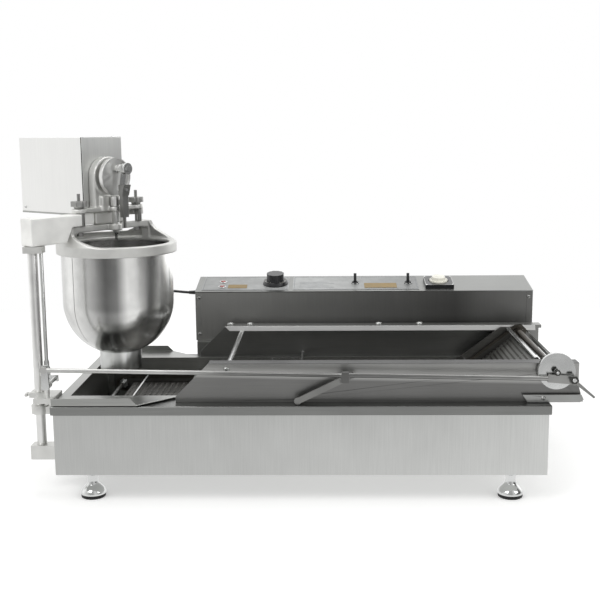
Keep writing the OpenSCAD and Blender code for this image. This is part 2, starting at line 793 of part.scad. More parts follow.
module toggle_left() {
    color("#1f1f1f") toggle(switch_x0);
}

module toggle_right() {
    color("#1f1f1f") toggle(switch_x1);
}

module box_brackets() {
    y = casing_d;
    color("#a0a19f") place() for (x = [cbox_left + 3, cbox_left + cbox_l - 120]) {
        block([x, y, foot_h + 40], [x + 36, y + 8, foot_h + 92]);
        block([x, y + 5, foot_h + 40], [x + 36, y + 8, cbox_z]);
        block([x, y + 5, cbox_z - 3], [x + 36, cbox_y + cbox_d - 20, cbox_z]);
    }
}

// Gland with a nut and a dome, its axis along +Z and its seat at zero
module gland(r, h) {
    difference() {
        union() {
            cylinder(r = r * 2, h = h * 0.35, $fn = 6);
            cylinder(r1 = r * 1.7, r2 = r * 1.25, h = h);
        }
        translate([0, 0, -1]) cylinder(r = r + fit, h = h + 2);
    }
}

module cable_glands() {
    color("#262626") place() {
        translate([cbox_left, cable_route[0][1], cable_route[0][2]]) rotate([0, -90, 0])
            gland(cable_d / 2, 22);
        translate([cbox_left + cbox_l - 90, cbox_y + cbox_d, cbox_z + 30]) rotate([-90, 0, 0])
            gland(5, 1);
    }
}

// Tube of eight sides through the route's points, closed at both ends
function unit(v) = v / norm(v);
function route_dir(p, i) = unit(i == 0 ? p[1] - p[0] : i == len(p) - 1 ? p[i] - p[i - 1] : p[i + 1] - p[i - 1]);
function ring_points(p, i, r) = let (d = route_dir(p, i), u = unit(cross(d, [0.6, 0.8, 0])), w = cross(u, d))
    [for (k = [0 : 7]) p[i] + r * (cos(k * 45) * u + sin(k * 45) * w)];
module tube_along(p, r) {
    n = len(p);
    points = [for (i = [0 : n - 1]) each ring_points(p, i, r)];
    sides = [for (i = [0 : n - 2], k = [0 : 7]) let (a = i * 8 + k, b = i * 8 + (k + 1) % 8)
        each [[a, b, b + 8], [a, b + 8, a + 8]]];
    ends = [for (k = [1 : 6]) each [[0, k + 1, k], [(n - 1) * 8, (n - 1) * 8 + k, (n - 1) * 8 + k + 1]]];
    polyhedron(points, concat(sides, ends), convexity = 6);
}

module motor_cable() {
    color("#1d1d1d") place() translate([end_left, 0, 0]) tube_along(cable_route, cable_d / 2);
}

module post() {
    color("#d0d1d0") place() translate([post_x, post_y, 0]) {
        translate([0, 0, foot_h + 25]) cylinder(d = post_d, h = post_top - gap - foot_h - 25);
        translate([0, 0, post_top - 2]) cylinder(r = 6, h = 50);
    }
}

module post_brackets() {
    z0 = foot_h + 11;
    wall = end_left;
    r = post_d / 2;
    color("#c9cac8") place() {
        difference() {
            block([post_x - 18, post_y - 14, z0], [wall, post_y + 14, z0 + 26]);
            translate([post_x, post_y, foot_h + 25]) cylinder(r = r + fit, h = 40);
        }
        difference() {
            union() {
                translate([post_x, post_y, wall_top - 15]) cylinder(r = 16, h = 16);
                block([post_x, post_y - 10, wall_top - 15], [wall, post_y + 10, wall_top - 1]);
            }
            translate([post_x, post_y, wall_top - 30]) cylinder(r = r + fit, h = 60);
        }
        difference() {
            block([post_x - 14, post_y - 12, post_top - 12], [push_x + 7, post_y + 12, post_top - gap]);
            translate([post_x, post_y, post_top - 20]) cylinder(r = r + fit, h = 30);
            translate([push_x, push_y, post_top - 20]) cylinder(r = push_d / 2 + fit, h = 30);
        }
    }
}

module lever_bracket() {
    z0 = deck_z + 1;
    h = 9;
    y0 = lever_y + 8;
    color("#cdcecc") difference() {
        place() union() {
            block([post_x - 15, post_y - 15, z0], [post_x + 13, post_y + 15, z0 + h]);
            block([post_x + 4, y0, z0], [end_left - 1.5, post_y + 8, z0 + h]);
            y_rod(lever_x, lever_z, 7, y0, y0 + 14);
            translate([lever_x, y0 + 7, z0 + h - 0.5]) cylinder(r = 3.5, h = lever_z - z0 - h - 4);
            translate([post_x - 20, post_y - 6, z0 + h / 2]) rotate([0, 90, 0]) cylinder(r = 3, h = 7);
            translate([post_x - 24, post_y - 14, z0 + h / 2 - 2.5]) cube([4.5, 16, 5]);
        }
        place() translate([post_x, post_y, z0 - 1]) cylinder(r = post_d / 2 + fit, h = 20);
        place() y_rod(lever_x, lever_z, 4 + fit, y0 - 1, y0 + 20);
    }
}

module push_rod() {
    fork_z = push_pin_z + 20;
    top = post_top - gap - 5.2;
    color("#c6c7c7") place() difference() {
        union() {
            translate([push_x, push_y, fork_z]) cylinder(d = push_d, h = top - fork_z);
            translate([push_x, push_y, fork_z - 4]) cylinder(r = 5, h = 16);
            block([push_x - 5.5, push_y - 3, push_pin_z], [push_x + 5.5, push_y + 3, fork_z]);
            y_rod(push_x, push_pin_z, 5.5, push_y - 3, push_y + 3);
        }
        y_rod(push_x, push_pin_z, pin_r + 0.7, push_y - 6, push_y + 6);
    }
}

module bell_crank() {
    slot = pin_r + 0.4;
    arm = crank_pin_z - lever_z;
    y1 = push_y - 4;
    color("#d6d7d5") place() {
        difference() {
            y_plate([[lever_x - 7, lever_z], [lever_x - 5, lever_z - 6], [lever_x + 5, lever_z - 6],
                [lever_x + 7, lever_z], [lever_x + 5.5, crank_pin_z + 7], [lever_x - 5.5, crank_pin_z + 7]],
                lever_y, lever_y + 4);
            block([lever_x - slot, lever_y - 1, crank_pin_z - pin_r - 1.2],
                [lever_x + slot, lever_y + 5, crank_pin_z + pin_r + 1.4]);
        }
        y_rod(lever_x, lever_z, 6, lever_y, lever_y + 7);
        y_rod(lever_x, lever_z, 4, lever_y, y1);
        difference() {
            y_plate([[push_x - 4, lever_z - 5], [lever_x + 6, lever_z - 6], [lever_x + 6, lever_z + 6],
                [push_x - 4, lever_z + 5]], y1 - 4, y1);
            y_rod(lever_x - 11, lever_z, 1.6, y1 - 5, y1 + 1);
        }
        y_rod(push_x, push_pin_z, pin_r, y1 - 1, push_y + 5);
    }
}

module head_arm() {
    z1 = bridge_z + 1.5;
    a1 = 1;
    color("#c9c9c6") difference() {
        head_frame() union() {
            translate([a1 - arm_t, 0, 0]) rotate([90, 0, 90]) linear_extrude(arm_t) polygon([
                [-post_b - 11, post_top], [-arm_step, post_top], [-arm_step + 14, z1], [-arm_end, z1],
                [-arm_end, head_deck], [-post_b - 11, head_deck]]);
            block([a1 - arm_t, -arm_end, z1], [bridge_a + 3, -38, head_deck]);
        }
        head_frame() translate([post_a, -post_b, post_top - 1]) cylinder(r = 6 + fit, h = 52);
        head_frame() translate([bridge_a, -clamp_b, bridge_z]) cylinder(r = 3.5, h = 40);
    }
}

module head_casting() {
    z1 = head_deck + lug_t;
    back = -box_back + gap;
    neck_z = crank_z - crank_d / 2 - 0.6;
    color("#c4c4c1") difference() {
        head_frame() union() {
            translate([back, 0, crank_z]) rotate([0, 90, 0]) cylinder(r = 38, h = box_back - 12.5);
            block([back, -38, head_deck], [-box_back + 17, 38, crank_z]);
            block([back, -25, head_deck], [-7.8, 25, neck_z]);
            block([back, -clamp_b, head_deck], [bridge_a + 10, clamp_b, z1]);
            for (s = [-1, 1]) translate([bridge_a, s * clamp_b, head_deck]) cylinder(r = 14, h = lug_t);
            block([back, clamp_b - 2, head_deck - 12], [bridge_a + 3, clamp_b + 18, z1 - 3]);
            block([back, 38, head_deck - 12], [bridge_a - 5, clamp_b, head_deck]);
            block([back, -37.7, bridge_z + gap], [bridge_a + 6, 38, head_deck]);
            translate([0, 0, head_deck]) cylinder(r = tube_r + 4, h = 10);
        }
        head_frame() for (s = [-1, 1]) translate([bridge_a, s * clamp_b, head_deck - 20])
            cylinder(r = 3 + fit, h = 50);
        head_frame() translate([0, 0, head_deck - 5]) cylinder(r = tube_r + fit, h = 60);
        head_frame() translate([0, 0, collar_z + 10]) cylinder(r = 10, h = 60);
        head_frame() block([0, -2.8, slot_z], [30, 2.8, head_deck + 30]);
        head_frame() translate([-20, 0, crank_z]) rotate([0, 90, 0]) cylinder(r = 7 + fit, h = 30);
    }
}

module motor_base() {
    x0 = -box_back - box_l;
    end = cable_route[len(cable_route) - 1];
    color("#a9aaa8") {
        head_frame() block([x0, -box_w / 2, box_z0 - 3], [-box_back - gap, box_w / 2, box_z0]);
        difference() {
            place() translate([end_left + end[0], end[1], end[2] + 0.4])
                cylinder(r = cable_d * 0.9, h = box_z0 - end[2] - 2);
            place() translate([end_left + end[0], end[1], end[2] - 1]) cylinder(r = cable_d / 2 + fit, h = 16);
        }
    }
}

module motor_cover() {
    t = 1.5;
    x0 = -box_back - box_l;
    color("#e6e6e4") head_frame() difference() {
        block([x0, -box_w / 2, box_z0], [-box_back - 2, box_w / 2, head_top]);
        block([x0 + t, -box_w / 2 + t, box_z0 - 1], [-box_back + 1, box_w / 2 - t, head_top - t]);
    }
}

module motor_face() {
    color("#8f908e") head_frame()
        block([-box_back - 2 + gap, -box_w / 2, box_z0], [-box_back, box_w / 2, head_top]);
}

module gear_motor() {
    z = crank_z - 6;
    color("#5c6064") head_frame() {
        block([-box_back - 62, -36, box_z0], [-box_back - 8, 36, z + 36]);
        translate([-box_back - 170, 0, z]) rotate([0, 90, 0]) cylinder(r = 34, h = 108);
        translate([-box_back - 176, 0, z]) rotate([0, 90, 0]) cylinder(r = 30, h = 6);
    }
}

module crank_disc() {
    color("#cbccca") head_frame() translate([0, 0, crank_z]) rotate([0, 90, 0]) {
        difference() {
            translate([0, 0, disc_a - 10]) cylinder(d = crank_d, h = 10);
            translate([0, 0, disc_a - 2]) cylinder(d = crank_d - 6, h = 4);
        }
        translate([0, 0, -19]) cylinder(r = 7, h = 17);
        translate([-crank_r * cos(pin_lean), crank_r * sin(pin_lean), 0])
            cylinder(r = 8, h = cross_a - 7 - 2 * gap);
    }
}

// The link's eye stands just in front of the crank pin, where the closed linkage is opened
module crank_link() {
    pin_b = crank_r * sin(pin_lean);
    pin_z = crank_z + crank_r * cos(pin_lean);
    lean = atan2(pin_b, pin_z - link_z);
    reach = norm([pin_b, pin_z - link_z]);
    a0 = cross_a - 7;
    color("#bfc0be") head_frame() {
        translate([a0, 0, link_z]) rotate([-lean, 0, 0]) {
            translate([0, -7, 0]) cube([6, 14, reach]);
            rotate([0, 90, 0]) cylinder(r = 7, h = 6);
            translate([0, 0, reach]) rotate([0, 90, 0]) cylinder(r = 10, h = 6);
        }
        translate([a0, 0, link_z]) rotate([0, 90, 0]) cylinder(r = 3, h = 20);
        translate([a0 + 5, pin_b, pin_z]) rotate([0, 90, 0]) cylinder(r = 11, h = 12);
        translate([a0 + 16, pin_b, pin_z]) rotate([0, 90, 0]) cylinder(r = 6, h = 4, $fn = 6);
    }
}

module guide_tube() {
    color("#cfcfcc") head_frame() difference() {
        union() {
            translate([0, 0, tube_z]) cylinder(r = tube_r, h = collar_z + 10 - tube_z);
            translate([0, 0, collar_z + 10]) cylinder(r = 8.5, h = collar_top - collar_z - 10);
        }
        translate([0, 0, tube_z - 1]) cylinder(r = 4 + fit, h = 100);
        translate([0, -2.6, slot_z]) cube([20, 5.2, 100]);
    }
}

module crosshead() {
    z1 = link_z + 9;
    a1 = cross_a + 9;
    color("#5f5f5d") head_frame() difference() {
        union() {
            block([cross_a, -7, head_deck - 10], [a1, 7, link_z - 10]);
            y_plate([[cross_a, link_z - 12], [a1, link_z - 12], [a1 + 6, z1], [cross_a, z1]], -9, 9);
            block([3.5, -2, head_deck + 13], [cross_a + 2, 2, head_deck + 23]);
            translate([cross_a + 4.5, 0, head_deck - 30]) cylinder(r = 3, h = 24);
        }
        translate([cross_a - 1, 0, link_z]) rotate([0, 90, 0]) cylinder(r = 3 + fit, h = 20);
        translate([0, 0, head_deck]) cylinder(r = 4, h = 40);
    }
}

module plunger_rod() {
    color("#d7d8d7") head_frame() {
        translate([0, 0, tube_z - 4]) cylinder(r = 4, h = plunger_top - tube_z + 4);
        translate([0, 0, nozzle_z + 14]) cylinder(r = 2.5, h = tube_z - nozzle_z - 17);
    }
}

module dough_cutter() {
    color("#c3c4c3") head_frame() difference() {
        union() {
            translate([0, 0, nozzle_z + 4]) cylinder(r = 17, h = 8);
            translate([0, 0, nozzle_z + 12]) cylinder(r1 = 17, r2 = 5, h = 10);
        }
        translate([0, 0, nozzle_z + 14 - fit]) cylinder(r = 2.5 + fit, h = 20);
    }
}

// Outline of the ring's raised sides in X and Z: they sweep up from the rim to the bridge
function saddle_outline() = [[-ring_r, ring_top - 1], [-ring_r, ring_top + 11], [-62, ring_top + 12],
    [-44, ring_top + 20], [bridge_a - 12, bridge_z], [bridge_a + 10, bridge_z],
    [bridge_a + 13, bridge_z - 9], [bridge_a + 20, bridge_z - 17], [18, ring_top + 10.5],
    [44, ring_top + 3], [68, ring_top - 1]];

module hopper_ring() {
    ear_b = 104;
    saddle_h = bridge_z - ring_top + 2;
    lean_in = 10;
    color("#cfcfcc") head_frame() difference() {
        union() {
            translate([0, 0, ring_bottom]) cylinder(r = ring_r, h = ring_h, $fn = 96);
            intersection() {
                translate([0, 0, ring_top - 2]) difference() {
                    cylinder(r1 = ring_r, r2 = ring_r - lean_in, h = saddle_h, $fn = 96);
                    translate([0, 0, -0.01])
                        cylinder(r1 = ring_r - 9, r2 = ring_r - 9 - lean_in, h = saddle_h + 0.02, $fn = 96);
                }
                y_plate(saddle_outline(), -ring_r - 1, ring_r + 1);
            }
            for (s = [-1, 1]) block([bridge_a - 8, s > 0 ? arm_end : -ear_b, ring_bottom + 10],
                [bridge_a + 8, s > 0 ? ear_b : -arm_end, bridge_z]);
            block([bridge_a - 8, -ear_b, bridge_z - bridge_t], [bridge_a + 8, ear_b, bridge_z]);
            translate([0, 0, bridge_z - bridge_t]) cylinder(r = tube_r + 5, h = bridge_t);
            block([bridge_a, -9, bridge_z - bridge_t], [-tube_r - 1, 9, bridge_z]);
        }
        translate([0, 0, ring_bottom - 1])
            cylinder(r = bowl_d / 2 + 0.1, h = bowl_top + gap - ring_bottom + 1, $fn = 96);
        difference() {
            translate([4, 3, ring_bottom]) cylinder(r = bowl_d / 2 - 11, h = 40, $fn = 96);
            block([-150, -150, bridge_z - bridge_t], [150, 150, bridge_z + 20]);
        }
        translate([0, 0, bridge_z - 40]) cylinder(r = tube_r + fit, h = 60);
        for (s = [-1, 1]) translate([bridge_a, s * clamp_b, bridge_z - 30]) cylinder(r = 3 + fit, h = 60);
        translate([-31, 0, 0]) rotate([90, 0, 90]) linear_extrude(33) polygon([[-arm_step - 9, post_top - gap],
            [-arm_step + gap, post_top - gap], [-arm_step + 14 + gap, bridge_z + 1.2],
            [-arm_step + 14 + gap, head_deck], [-arm_step - 9, head_deck]]);
    }
}

module hopper_bowl() {
    r = bowl_d / 2;
    t = bowl_t;
    a1 = asin(nozzle_r / r);
    n = 24;
    color("#b9bab9") head_frame() rotate_extrude($fn = 96) polygon(concat(
        [[r - t, bowl_top], [r, bowl_top]],
        [for (k = [0 : n]) let (a = 90 - k * (90 - a1) / n) [r * sin(a), bowl_bend - r * cos(a)]],
        [for (k = [n : -1 : 0]) let (a = 90 - k * (90 - a1) / n)
            [(r - t) * sin(a), bowl_bend - (r - t) * cos(a)]]));
}

module hopper_nozzle() {
    color("#bfc0bf") head_frame() difference() {
        translate([0, 0, nozzle_z]) cylinder(r = nozzle_r, h = ball_z - nozzle_z, $fn = 64);
        translate([0, 0, nozzle_z - 1]) cylinder(r = nozzle_r - 2, h = 80, $fn = 64);
    }
}

module clamp_studs() {
    z0 = bridge_z - bridge_t - 7;
    color("#3b3b3a") head_frame() for (s = [-1, 1]) {
        translate([bridge_a, s * clamp_b, 0]) {
            translate([0, 0, z0]) cylinder(r = 3, h = stud_top - z0);
            translate([0, 0, z0]) cylinder(r = 6.5, h = 7, $fn = 6);
        }
        translate([bridge_a + 8.5, s * clamp_b, bridge_z]) cylinder(r = 5, h = head_deck - bridge_z);
    }
}

// Clamp knob: a collar and a scalloped grip with the stud's bore
module clamp_knob(s) {
    color("#b9bab8") head_frame() translate([bridge_a, s * clamp_b, head_deck + lug_t + gap]) difference() {
        union() {
            cylinder(r1 = 8.5, r2 = knob_d / 2 - 5, h = 4);
            translate([0, 0, 4]) cylinder(d = knob_d, h = 10);
        }
        translate([0, 0, -1]) cylinder(r = 3 + fit, h = 30);
        for (k = [0 : 7]) rotate([0, 0, k * 45]) translate([knob_d / 2 + 2.5, 0, 3])
            cylinder(r = 4.5, h = 20);
    }
}

module clamp_knob_left() {
    clamp_knob(-1);
}

module clamp_knob_right() {
    clamp_knob(1);
}

casing();
casing_rim();
levelling_feet();
tank();
flange_pads();
heating_elements();
bed_plate();
front_side_plate();
rear_side_plate();
tie_bar();
body_screws();
chain_guides();
incline_mesh();
drive_chains();
flight_bars();
exit_chute();
exit_bracket();
shaft_bushes();
drive_shaft();
index_disc();
idler_shaft();
long_rod();
lock_handle();
flipper_lever();
flipper_grid();
control_box();
control_panel();
panel_plates();
signal_lamps();
panel_fittings();
timer_dial();
thermostat_knob();
toggle_left();
toggle_right();
box_brackets();
cable_glands();
motor_cable();
post();
post_brackets();
lever_bracket();
push_rod();
bell_crank();
head_arm();
head_casting();
motor_base();
motor_cover();
motor_face();
gear_motor();
crank_disc();
crank_link();
guide_tube();
crosshead();
plunger_rod();
dough_cutter();
hopper_ring();
hopper_bowl();
hopper_nozzle();
clamp_studs();
clamp_knob_left();
clamp_knob_right();
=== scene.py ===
# %% [markdown]
# # A doughnut fryer for a counter
# The real machine is almost all metal: folded sheet stainless steel for the casing, the tank and
# the control box, spun steel for the hopper, cast aluminium for the head, and turned, chromed or
# blackened steel for shafts and screws. The construction model already holds every shape at its
# true place, so it is loaded first and kept as the frame. The lesson then gives each part the
# finish of the real one, and builds over again the pieces whose detail the plain solids lack.
# %% Load the construction model
import json
import math

import bmesh
import bpy
from mathutils import Matrix, Vector

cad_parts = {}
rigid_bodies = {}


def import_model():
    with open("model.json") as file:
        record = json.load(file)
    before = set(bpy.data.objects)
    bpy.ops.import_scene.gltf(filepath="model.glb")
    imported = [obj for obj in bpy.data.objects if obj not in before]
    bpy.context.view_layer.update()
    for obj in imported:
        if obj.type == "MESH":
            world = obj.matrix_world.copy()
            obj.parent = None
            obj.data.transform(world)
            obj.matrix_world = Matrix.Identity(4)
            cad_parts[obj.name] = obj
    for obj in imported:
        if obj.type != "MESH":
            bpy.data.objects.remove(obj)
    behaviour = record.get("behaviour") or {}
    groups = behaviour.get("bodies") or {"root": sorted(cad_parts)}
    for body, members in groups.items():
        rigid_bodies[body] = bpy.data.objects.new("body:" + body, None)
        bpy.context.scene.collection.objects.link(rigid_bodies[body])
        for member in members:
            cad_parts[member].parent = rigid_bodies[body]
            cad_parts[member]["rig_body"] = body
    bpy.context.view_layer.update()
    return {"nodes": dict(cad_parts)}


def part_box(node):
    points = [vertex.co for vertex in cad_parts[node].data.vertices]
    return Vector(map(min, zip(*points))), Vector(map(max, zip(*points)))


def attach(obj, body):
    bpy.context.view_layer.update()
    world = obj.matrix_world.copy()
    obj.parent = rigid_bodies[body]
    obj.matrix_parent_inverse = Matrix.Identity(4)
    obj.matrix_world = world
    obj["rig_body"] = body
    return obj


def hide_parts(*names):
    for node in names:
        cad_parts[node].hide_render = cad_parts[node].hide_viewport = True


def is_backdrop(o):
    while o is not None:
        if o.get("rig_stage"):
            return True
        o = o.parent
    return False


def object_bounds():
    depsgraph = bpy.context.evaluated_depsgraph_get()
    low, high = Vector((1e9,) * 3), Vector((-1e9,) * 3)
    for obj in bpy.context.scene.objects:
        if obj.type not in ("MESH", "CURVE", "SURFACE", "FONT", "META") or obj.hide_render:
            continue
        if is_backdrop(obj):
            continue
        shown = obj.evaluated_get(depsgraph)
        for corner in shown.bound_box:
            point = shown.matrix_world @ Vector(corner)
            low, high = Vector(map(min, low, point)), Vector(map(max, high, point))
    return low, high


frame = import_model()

# %% [markdown]
# ## Places
# Workshop drawings give a place in millimetres from a datum. The casing is the datum here: X from
# its middle, Y backwards from its front face, Z from the counter. The head stands turned on its
# post, so it has a datum of its own on the hopper's axis. Two small functions turn such places
# into Blender's metres, and both datums are measured from the loaded parts.
# %% Datum functions
MM = 0.001
casing_low, casing_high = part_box("casing")
datum = Vector(((casing_low.x + casing_high.x) / 2, casing_low.y, 0))
nozzle_low, nozzle_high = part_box("hopper_nozzle")
hopper_axis = (nozzle_low + nozzle_high) / 2
HEAD_TURN = math.radians(-36)


def spot(x, y, z):
    """A place in millimetres from the casing's datum, in Blender's metres."""
    return datum + Vector((x, y, z)) * MM


HEAD = Matrix.Translation((hopper_axis.x, hopper_axis.y, 0)) @ Matrix.Rotation(HEAD_TURN, 4, "Z")


def head_spot(out, along, z):
    """A place in millimetres from the hopper's axis: out of the crank disc, along the bridge, up."""
    return HEAD @ (Vector((out, along, z)) * MM)


print("datum", datum, "hopper axis", hopper_axis)

# %% [markdown]
# ## Nodes and colours
# Colours are read as sRGB hex values, the way a paint chart gives them, and one function turns
# them to the linear values that the shader wants. One more function adds a shader node together
# with its settings, links and ramp stops, which keeps each material below short enough to read.
# %% Colour and node helpers
def linear(hex_colour):
    """An sRGB hex colour as linear red, green, blue and alpha."""
    channels = [int(hex_colour[i:i + 2], 16) / 255 for i in (1, 3, 5)]
    return tuple(c / 12.92 if c <= 0.04045 else ((c + 0.055) / 1.055) ** 2.4 for c in channels) + (1,)


def add(tree, kind, values=None, links=None, stops=(), **settings):
    """Adds a node, sets its properties and input values, links its inputs, and sets a ramp's stops."""
    node = tree.nodes.new(kind)
    for name, value in settings.items():
        setattr(node, name, value)
    for name, value in (values or {}).items():
        node.inputs[name].default_value = value
    for name, source in (links or {}).items():
        tree.links.new(source, node.inputs[name])
    for _ in stops[2:]:
        node.color_ramp.elements.new(0.5)
    for k, (place, colour) in enumerate(stops):
        node.color_ramp.elements[k].position = place
        node.color_ramp.elements[k].color = colour
    return node


def shaded(colour, factor):
    """A linear colour made darker or lighter."""
    return tuple(min(1.0, c * factor) for c in colour[:3]) + (1,)


def grey(tone):
    """A linear grey with full alpha."""
    return (tone, tone, tone, 1)


def empty_material(name):
    """A new material and its emptied node tree."""
    made = bpy.data.materials.new(name)
    made.use_nodes = True
    made.node_tree.nodes.clear()
    return made, made.node_tree


print("mid grey", linear("#808080"))

# %% [markdown]
# ## Brushed stainless steel
# Sheet steel for kitchens is brushed with an abrasive belt, which leaves fine parallel scratches.
# They spread a reflection sideways and draw faint streaks along the grain. Real scratches are
# about 0.05 mm wide, far too fine for this picture, so the streaks are drawn some 1.5 mm wide and
# 90 mm long. A broad, soft noise adds the cloudiness that handling and wiping leave behind.
# %% Brushed steel
finishes = {}


def painted_light_fade(tree, coords, colour, direction, stops):
    """Paints light and shade into a colour: multiplies it by factors given at millimetres along a
    direction from the datum.
    """
    first, last = stops[0][0], stops[-1][0]
    start = Vector(direction).dot(datum) / MM
    along = add(tree, "ShaderNodeVectorMath", {1: [part / MM for part in direction]}, {0: coords},
                operation="DOT_PRODUCT")
    place = add(tree, "ShaderNodeMapRange", {"From Min": first + start, "From Max": last + start},
                {"Value": along.outputs["Value"]})
    tint = add(tree, "ShaderNodeValToRGB", links={"Fac": place.outputs[0]},
               stops=[((mm - first) / (last - first), grey(tone)) for mm, tone in stops])
    return add(tree, "ShaderNodeMix", {0: 1.0}, {6: colour, 7: tint.outputs["Color"]}, data_type="RGBA",
               blend_type="MULTIPLY").outputs[2]


def painted_reflection_columns(tree, coords, colour, stops, full_mm):
    """Paints reflection bands into a colour: multiplies it by factors at bearings round the hopper, faded
    in up to a height.
    """
    centred = add(tree, "ShaderNodeVectorMath", {1: tuple(HEAD.translation)}, {0: coords},
                  operation="SUBTRACT")
    bearing = add(tree, "ShaderNodeTexGradient", links={"Vector": centred.outputs[0]},
                  gradient_type="RADIAL")
    tint = add(tree, "ShaderNodeValToRGB", links={"Fac": bearing.outputs["Fac"]},
               stops=[(place, grey(tone)) for place, tone in stops]).outputs["Color"]
    height = add(tree, "ShaderNodeSeparateXYZ", links={0: coords}).outputs["Z"]
    share = add(tree, "ShaderNodeMapRange", {"From Min": (full_mm - 60) * MM, "From Max": full_mm * MM},
                {"Value": height})
    limited = add(tree, "ShaderNodeMix", {6: grey(1)}, {0: share.outputs[0], 7: tint}, data_type="RGBA")
    return add(tree, "ShaderNodeMix", {0: 1.0}, {6: colour, 7: limited.outputs[2]}, data_type="RGBA",
               blend_type="MULTIPLY").outputs[2]


SCRATCH_W = 1.5
SCRATCH_L = 90


def sheet_steel(name, tone, grain="X", rough=0.3, streak=0.1, cloud=0.07, turn=0.0, painted_fades=()):
    """Brushed stainless steel: tone is its colour, grain the axis of its scratches."""
    made, tree = empty_material(name)
    base = linear(tone)
    coords = add(tree, "ShaderNodeTexCoord").outputs["Object"]
    across, along = 1 / (SCRATCH_W * MM), 1 / (SCRATCH_L * MM)
    stretch = [along if axis == grain else across for axis in "XYZ"]
    turned = add(tree, "ShaderNodeMapping", {"Rotation": (0, 0, -turn)}, {"Vector": coords})
    mapped = add(tree, "ShaderNodeMapping", {"Scale": stretch}, {"Vector": turned.outputs[0]})
    scratches = add(tree, "ShaderNodeTexNoise", {"Scale": 1, "Detail": 3, "Roughness": 0.6},
                    {"Vector": mapped.outputs[0]})
    clouds = add(tree, "ShaderNodeTexNoise", {"Scale": 1 / (120 * MM), "Detail": 2, "Roughness": 0.5},
                 {"Vector": coords})
    fine = add(tree, "ShaderNodeValToRGB", links={"Fac": scratches.outputs["Fac"]},
               stops=[(0.3, shaded(base, 1 - streak)), (0.7, shaded(base, 1 + streak))])
    soft = add(tree, "ShaderNodeValToRGB", links={"Fac": clouds.outputs["Fac"]},
               stops=[(0.35, grey(1 - cloud)), (0.65, grey(1))])
    colour = add(tree, "ShaderNodeMix", {0: 1.0}, {6: fine.outputs["Color"], 7: soft.outputs["Color"]},
                 data_type="RGBA", blend_type="MULTIPLY").outputs[2]
    for direction, stops in painted_fades:
        colour = painted_light_fade(tree, coords, colour, direction, stops)
    dull = add(tree, "ShaderNodeMapRange", {"To Min": rough - 0.05, "To Max": rough + 0.07},
               {"Value": scratches.outputs["Fac"]})
    bump = add(tree, "ShaderNodeBump", {"Strength": 0.12, "Distance": 0.0002},
               {"Height": scratches.outputs["Fac"]})
    steel = add(tree, "ShaderNodeBsdfPrincipled", {"Metallic": 1.0},
                {"Base Color": colour, "Roughness": dull.outputs[0], "Normal": bump.outputs[0]})
    add(tree, "ShaderNodeOutputMaterial", links={"Surface": steel.outputs[0]})
    finishes[name] = made


# The casing's walls are brushed upright; the folded plates above are brushed lengthwise. Painted light and
# shade run across the machine, upwards, or at right angles to the rod, which rises a little to the left;
# the lower part of the front plate gets the rod's painted shade.
ACROSS, UP = (1, 0, 0), (0, 0, 1)
UNDER_ROD = (0.022, 0, 1)
# Walls: pale, with fine upright streaks, and painted light: darker on the left, lighter to the right.
sheet_steel("brushed_steel_walls", "#CDCECC", grain="Z", rough=0.32, streak=0.05,
            painted_fades=[(ACROSS, [(-430, 0.86), (0, 0.92), (260, 0.98), (430, 1.12)])])
# Rim and deck: a darker grey than the walls.
sheet_steel("brushed_steel_rim", "#898A88", grain="X", rough=0.3, streak=0.06)
# Front plate: painted light above the rod, the rod's painted shade below, lighter to the left, and a
# painted dark reflection on its top edge.
sheet_steel("brushed_steel_plates", "#A5A5A3", grain="X", rough=0.34, streak=0.05,
            painted_fades=[(UNDER_ROD, [(174, 0.6), (196, 0.5), (224, 0.54), (229, 1.06), (250, 1.12)]),
                   (ACROSS, [(-240, 1.2), (80, 1.08), (420, 1.08)]), (UP, [(253.2, 1.0), (253.6, 0.1)])])
# Strip: the same sheet painted bright, a painted highlight for it leans into the light.
sheet_steel("brushed_steel_lip", "#E4E4E2", grain="X", rough=0.34, streak=0.05)
# Rear plate: even and darker.
sheet_steel("brushed_steel_rear", "#8E8E8C", grain="X", rough=0.34, streak=0.06)
# Tank, chute and brackets: mid grey with clear streaks.
sheet_steel("brushed_steel_tank", "#A9AAA7", grain="X", rough=0.3)
# Control box: brushed upright, with painted light on the left fading to painted shade on the right.
sheet_steel("brushed_steel_box", "#858583", grain="Z", rough=0.38, streak=0.04,
            painted_fades=[(ACROSS, [(-250, 2.0), (-60, 1.55), (200, 0.95), (330, 0.55), (380, 0.85)])])
# Control panel: even, brushed lengthwise.
sheet_steel("brushed_steel_panel", "#929391", grain="X", rough=0.34)
# Motor box: satin-ground, nearly white, with hardly a streak.
sheet_steel("satin_steel_cover", "#ECECEA", grain="Z", rough=0.42, streak=0.02, cloud=0.03,
            turn=HEAD_TURN)
# Its face plate: satin, with painted shade towards its foot and painted light at its top.
sheet_steel("satin_steel_face", "#E4E5E3", grain="Z", rough=0.4, streak=0.04, turn=HEAD_TURN,
            painted_fades=[(UP, [(510, 0.75), (590, 0.9), (653, 1.25)])])
# Conveyor sheets: dulled by hot oil, dark with broad stains.
sheet_steel("dull_steel_conveyor", "#6F6E6B", grain="X", rough=0.42, streak=0.16, cloud=0.2)
print("finishes:", sorted(finishes))

